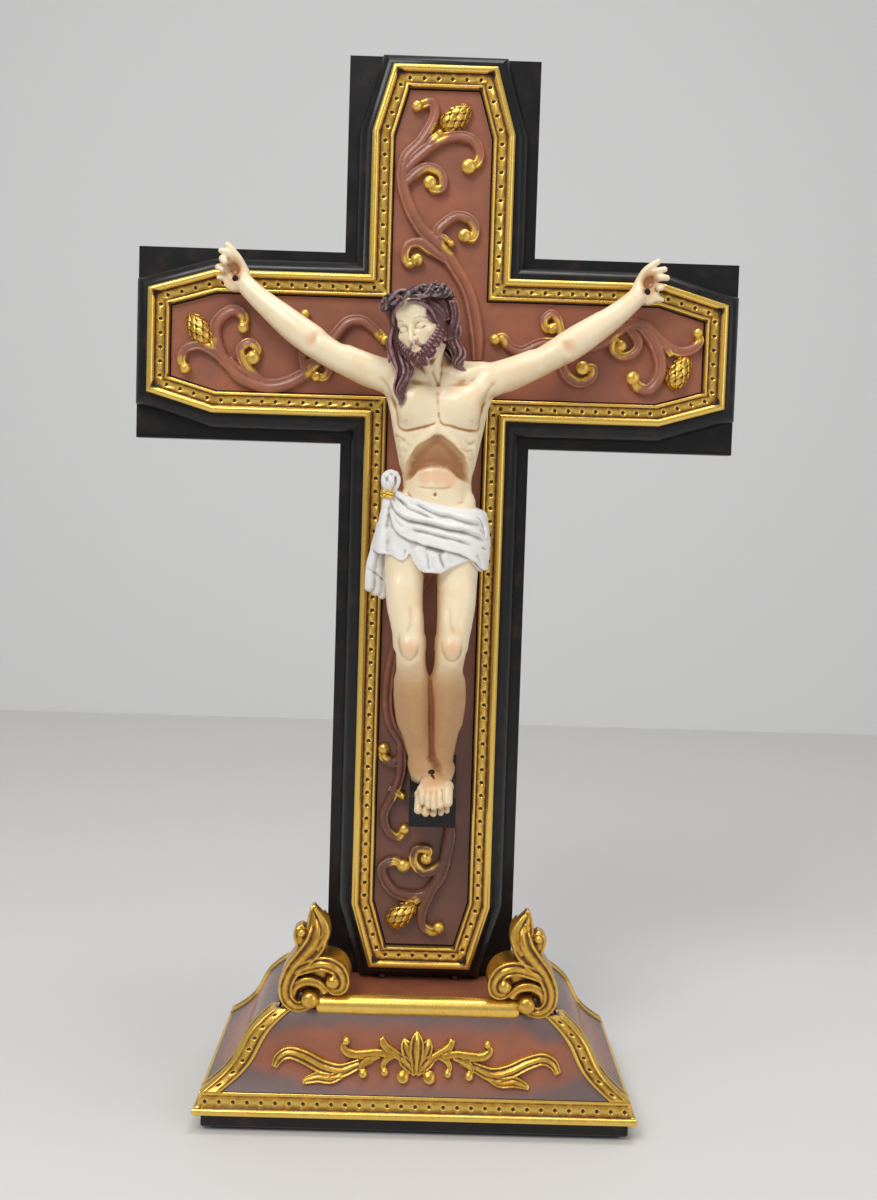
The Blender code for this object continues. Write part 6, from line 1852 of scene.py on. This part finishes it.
# A lock: waved strands round a core, wound a little about a middle line
def lock(stations, count, twist, waves, rng):
    path = softPath(stations, 6)
    skins = [tube([(x, f, z, max(r * 0.5, 0.3)) for x, f, z, r in path], 10, 1)]
    last = len(path) - 1
    for n in range(count):
        phase = 2 * math.pi * n / count + rng.uniform(-0.2, 0.2)
        spread, shift = rng.uniform(0.72, 0.95), rng.uniform(-0.5, 0.5)
        strand = []
        for k, (x, f, z, r) in enumerate(path):
            t = k / last
            a = phase + twist * t * 2 * math.pi
            thick = max(hair["strand"] * (1.1 - 0.5 * t) * (0.9 + 0.2 * math.sin(t * 13 + phase * 2)), 0.32)
            out = max(r * spread - thick * 0.3, 0.1)
            swing = 1.15 * math.sin(t * waves * 2 * math.pi + shift) * min(1, r / 2.5)
            strand.append((x + math.cos(a) * out + swing,
                           f + math.sin(a) * out * 0.8 + 0.5 * swing, z, thick))
        skins.append(tube(strand, 7, 1))
    return skins


# middle of the jaw, its way out and the way across the beard, for a share from ear to chin
def jawAt(t, side):
    def place(u):
        a = u * math.pi / 2
        return np.array((8.5 * math.cos(a) ** 0.85 if u < 1 else 0.0, 2.8 + 7.4 * math.sin(a),
                         -1.6 - 11.2 * u ** 0.95))

    middle = place(t)
    along = place(min(t + 0.02, 1)) - place(max(t - 0.02, 0))
    along = along / np.linalg.norm(along)
    out = np.array((middle[0] * 1.2, middle[1] - 1.0, (middle[2] + 7) * 0.5))
    out = out - along * (out @ along)
    out = out / np.linalg.norm(out)
    across = np.cross(along, out)
    across = across * (-1 if across[2] > 0 else 1)
    flip = np.array((side, 1, 1))
    return middle * flip, along * flip, out * flip, across * flip


def beard(rng):
    skins = []
    for side in (-1, 1):
        band = [jawAt(t, side)[0] - jawAt(t, side)[2] * 0.8 for t in np.linspace(0, 1, 9)]
        skins.append(headTube(band, (1.2, 1.7, 2.0, 2.2, 2.4, 2.6, 2.8, 3.0, 3.0), 3))
        for row, (start, end, lift) in enumerate(((-2.3, 0.6, 0.75), (-0.9, 2.2, 0.95), (0.4, 3.1, 0.45))):
            for n in range(12):
                t = min((n + 0.5 * (row % 2) + rng.uniform(-0.12, 0.12) + 0.2) / 11.5, 1)
                middle, along, out, across = jawAt(t, side)
                bend = along * rng.uniform(0.2, 0.9) * (1 if n % 3 else -1)
                grow = 0.75 + 0.45 * t
                line = [middle + across * start * grow,
                        middle + across * (start * 0.65 + end * 0.35) * grow + out * lift,
                        middle + across * (start * 0.25 + end * 0.75) * grow + out * lift + bend * 0.5,
                        middle + across * end * grow + out * 0.1 + bend]
                skins.append(headTube(line, (0.55, 0.82, 0.78, 0.42)))
        for n in range(3):
            line = [(side * 0.4, 12.0 - n * 0.25, -6.2 - n * 0.35),
                    (side * 2.0, 11.5 - n * 0.2, -6.9 - n * 0.35),
                    (side * 3.6, 10.2, -8.2 - n * 0.3), (side * 4.6, 8.8, -10.2)]
            skins.append(headTube(line, (0.5, 0.66, 0.58, 0.36)))
    for n in range(7):
        x = (n - 3) * 0.95
        line = [(x, 10.5 - abs(x) * 0.3, -10.4), (x * 1.1, 11.7 - abs(x) * 0.3, -12.0),
                (x * 1.15 + 0.4, 11.2, -13.8), (x * 0.9 + 0.2, 10.0, -15.2)]
        skins.append(headTube(line, (0.6, 0.9, 0.85, 0.45)))
    return skins


def addHair():
    rng = random.Random(4)
    # close cap over the skull, open at the face
    cap = Clay()
    cap.inFrame(headTurn, corpus["headPlace"], corpus["headSize"])
    cap.egg((0, -2.6, 2.9), (10.5, 12.5, 11.2), 1.0)
    cap.egg((0, -5.0, -4.0), (8.8, 8.0, 9.0), 3.0)
    cap.egg((0, 13.0, -3.6), (8.0, 12.5, 12.4), 0.8, hollow=True)
    points, faces = cap.surface(0.8)
    skins = [(fromFigure(points), faces)]
    # strands combed from the parting over the skull
    for side in (-1, 1):
        for n in range(22):
            start, end = math.radians(6 + 160 * n / 21), math.radians(62 + 114 * n / 21)
            wide, deep = 10.6 + 0.3 * math.sin(n * 2.1), 12.6 + 0.3 * math.sin(n * 1.7)
            strand = []
            for k in range(8):
                t = k / 7
                high = math.radians(86 - 104 * t)
                lean = start + (end - start) * t ** 0.7 + 0.10 * math.sin(t * 9 + n * 0.5)
                strand.append((side * (0.7 + wide * math.cos(high) * math.sin(lean)),
                               -2.5 + deep * math.cos(high) * math.cos(lean),
                               3.0 + 11.2 * math.sin(high)))
            skins.append(headTube(strand, [1.25] * 8, 2))
        # hair framing the forehead and temples
        for n in range(6):
            line = [(side * (0.8 + n * 0.4), 10.4 - n * 0.3, 10.2),
                    (side * (4.8 + n * 0.4), 9.6 - n * 0.6, 8.6 - n * 0.2),
                    (side * (7.9 + n * 0.35), 6.8 - n * 0.9, 5.2),
                    (side * (8.8 + n * 0.25), 4.8 - n * 0.9, 0.6),
                    (side * (8.9 + n * 0.25), 3.4 - n * 0.8, -4.0),
                    (side * (8.6 + n * 0.25), 2.4 - n * 0.8, -8.0)]
            waved = [p + np.array((0.5 * math.sin(k * 1.7 + n), 0, 0)) for k, p in enumerate(np.array(line))]
            skins.append(headTube(waved, (0.7, 1.05, 1.15, 1.1, 1.0, 0.8), 4))
    for stations, count, twist, waves in ((leftLock, 9, 0.35, 2.3), (leftBackLock, 8, 0.3, 1.5),
                                          (rightLock, 7, 0.4, 2.0), (rightBackLock, 8, 0.3, 1.5)):
        skins += lock(stations, count, twist, waves, rng)
    skins += beard(rng)
    piece = joinedSkins("hairAndBeard", skins)
    meltTogether(piece, hair["voxel"], 1, 0.4)
    markRelief(piece, passes=30, depth=0.5 * mm, bias=0.1)
    finishPiece(piece, paints["hair"], "hair_paint", "hair_and_beard", angle=180)


# radius and height of the ring in the head's frame, its rise towards the brow and to the right
crown = {
    "radius": 12.7,
    "height": 10.3,
    "rise": 0.17,
    "lean": 0.03,
    "twig": 1.05,
    "thorns": 60,
    "thornLong": 3.4,
    "voxel": 0.3 * mm,
}


def addCrown():
    rng = random.Random(11)
    skins = []
    branches = []
    for n in range(6):
        phase, lift = 2 * math.pi * n / 6, rng.uniform(1.6, 2.2)
        ring, radii = [], []
        for k in range(73):
            a = 2 * math.pi * k / 72
            turns = 5 if n % 2 else 4
            knot = 1 + 0.22 * max(0, math.sin(a * 11 + phase * 3)) ** 3 + 0.1 * math.sin(a * 23 + n)
            x = math.cos(a) * (crown["radius"] - 0.2 + 1.2 * math.sin(a * turns + phase))
            f = -0.8 + math.sin(a) * (crown["radius"] + 0.5 + 1.2 * math.sin(a * turns + phase))
            ring.append((x, f, crown["height"] + crown["rise"] * f + crown["lean"] * x
                         + lift * math.cos(a * turns + phase * 1.3) + 0.3 * math.sin(a * 9 + n)))
            radii.append(crown["twig"] * (0.85 + 0.08 * (n % 3)) * knot)
        full = [(*p, r) for p, r in zip(fromHead(ring), radii)]
        skins.append(tube(full, 8, 2))
        branches.append(full)
    middle = fromHead((0, -0.8, crown["height"]))
    up = headTurn @ np.array((0, 0, 1.0))
    for n in range(crown["thorns"]):
        place = np.array(branches[n % 6][rng.randrange(72)][:3])
        out = place - middle
        out = out / np.linalg.norm(out)
        aim = out * rng.uniform(0.4, 1) + np.cross(out, up) * rng.uniform(-0.9, 0.9)
        aim = aim + up * rng.uniform(-0.7, 1.0)
        aim = aim / np.linalg.norm(aim)
        long = crown["thornLong"] * rng.uniform(0.7, 1.1)
        skins.append(tube([(*place, 0.8), (*(place + aim * long * 0.5), 0.48), (*(place + aim * long), 0.2)],
                          6, 2))
    piece = joinedSkins("crownOfThorns", skins)
    meltTogether(piece, crown["voxel"], 1, 0.4)
    markRelief(piece, passes=26, depth=0.5 * mm, bias=0.12)
    finishPiece(piece, paints["thorn"], "thorn_paint", "crown_of_thorns", angle=180)


addHair()
addCrown()
print("hair, beard and crown made")

print("finished")
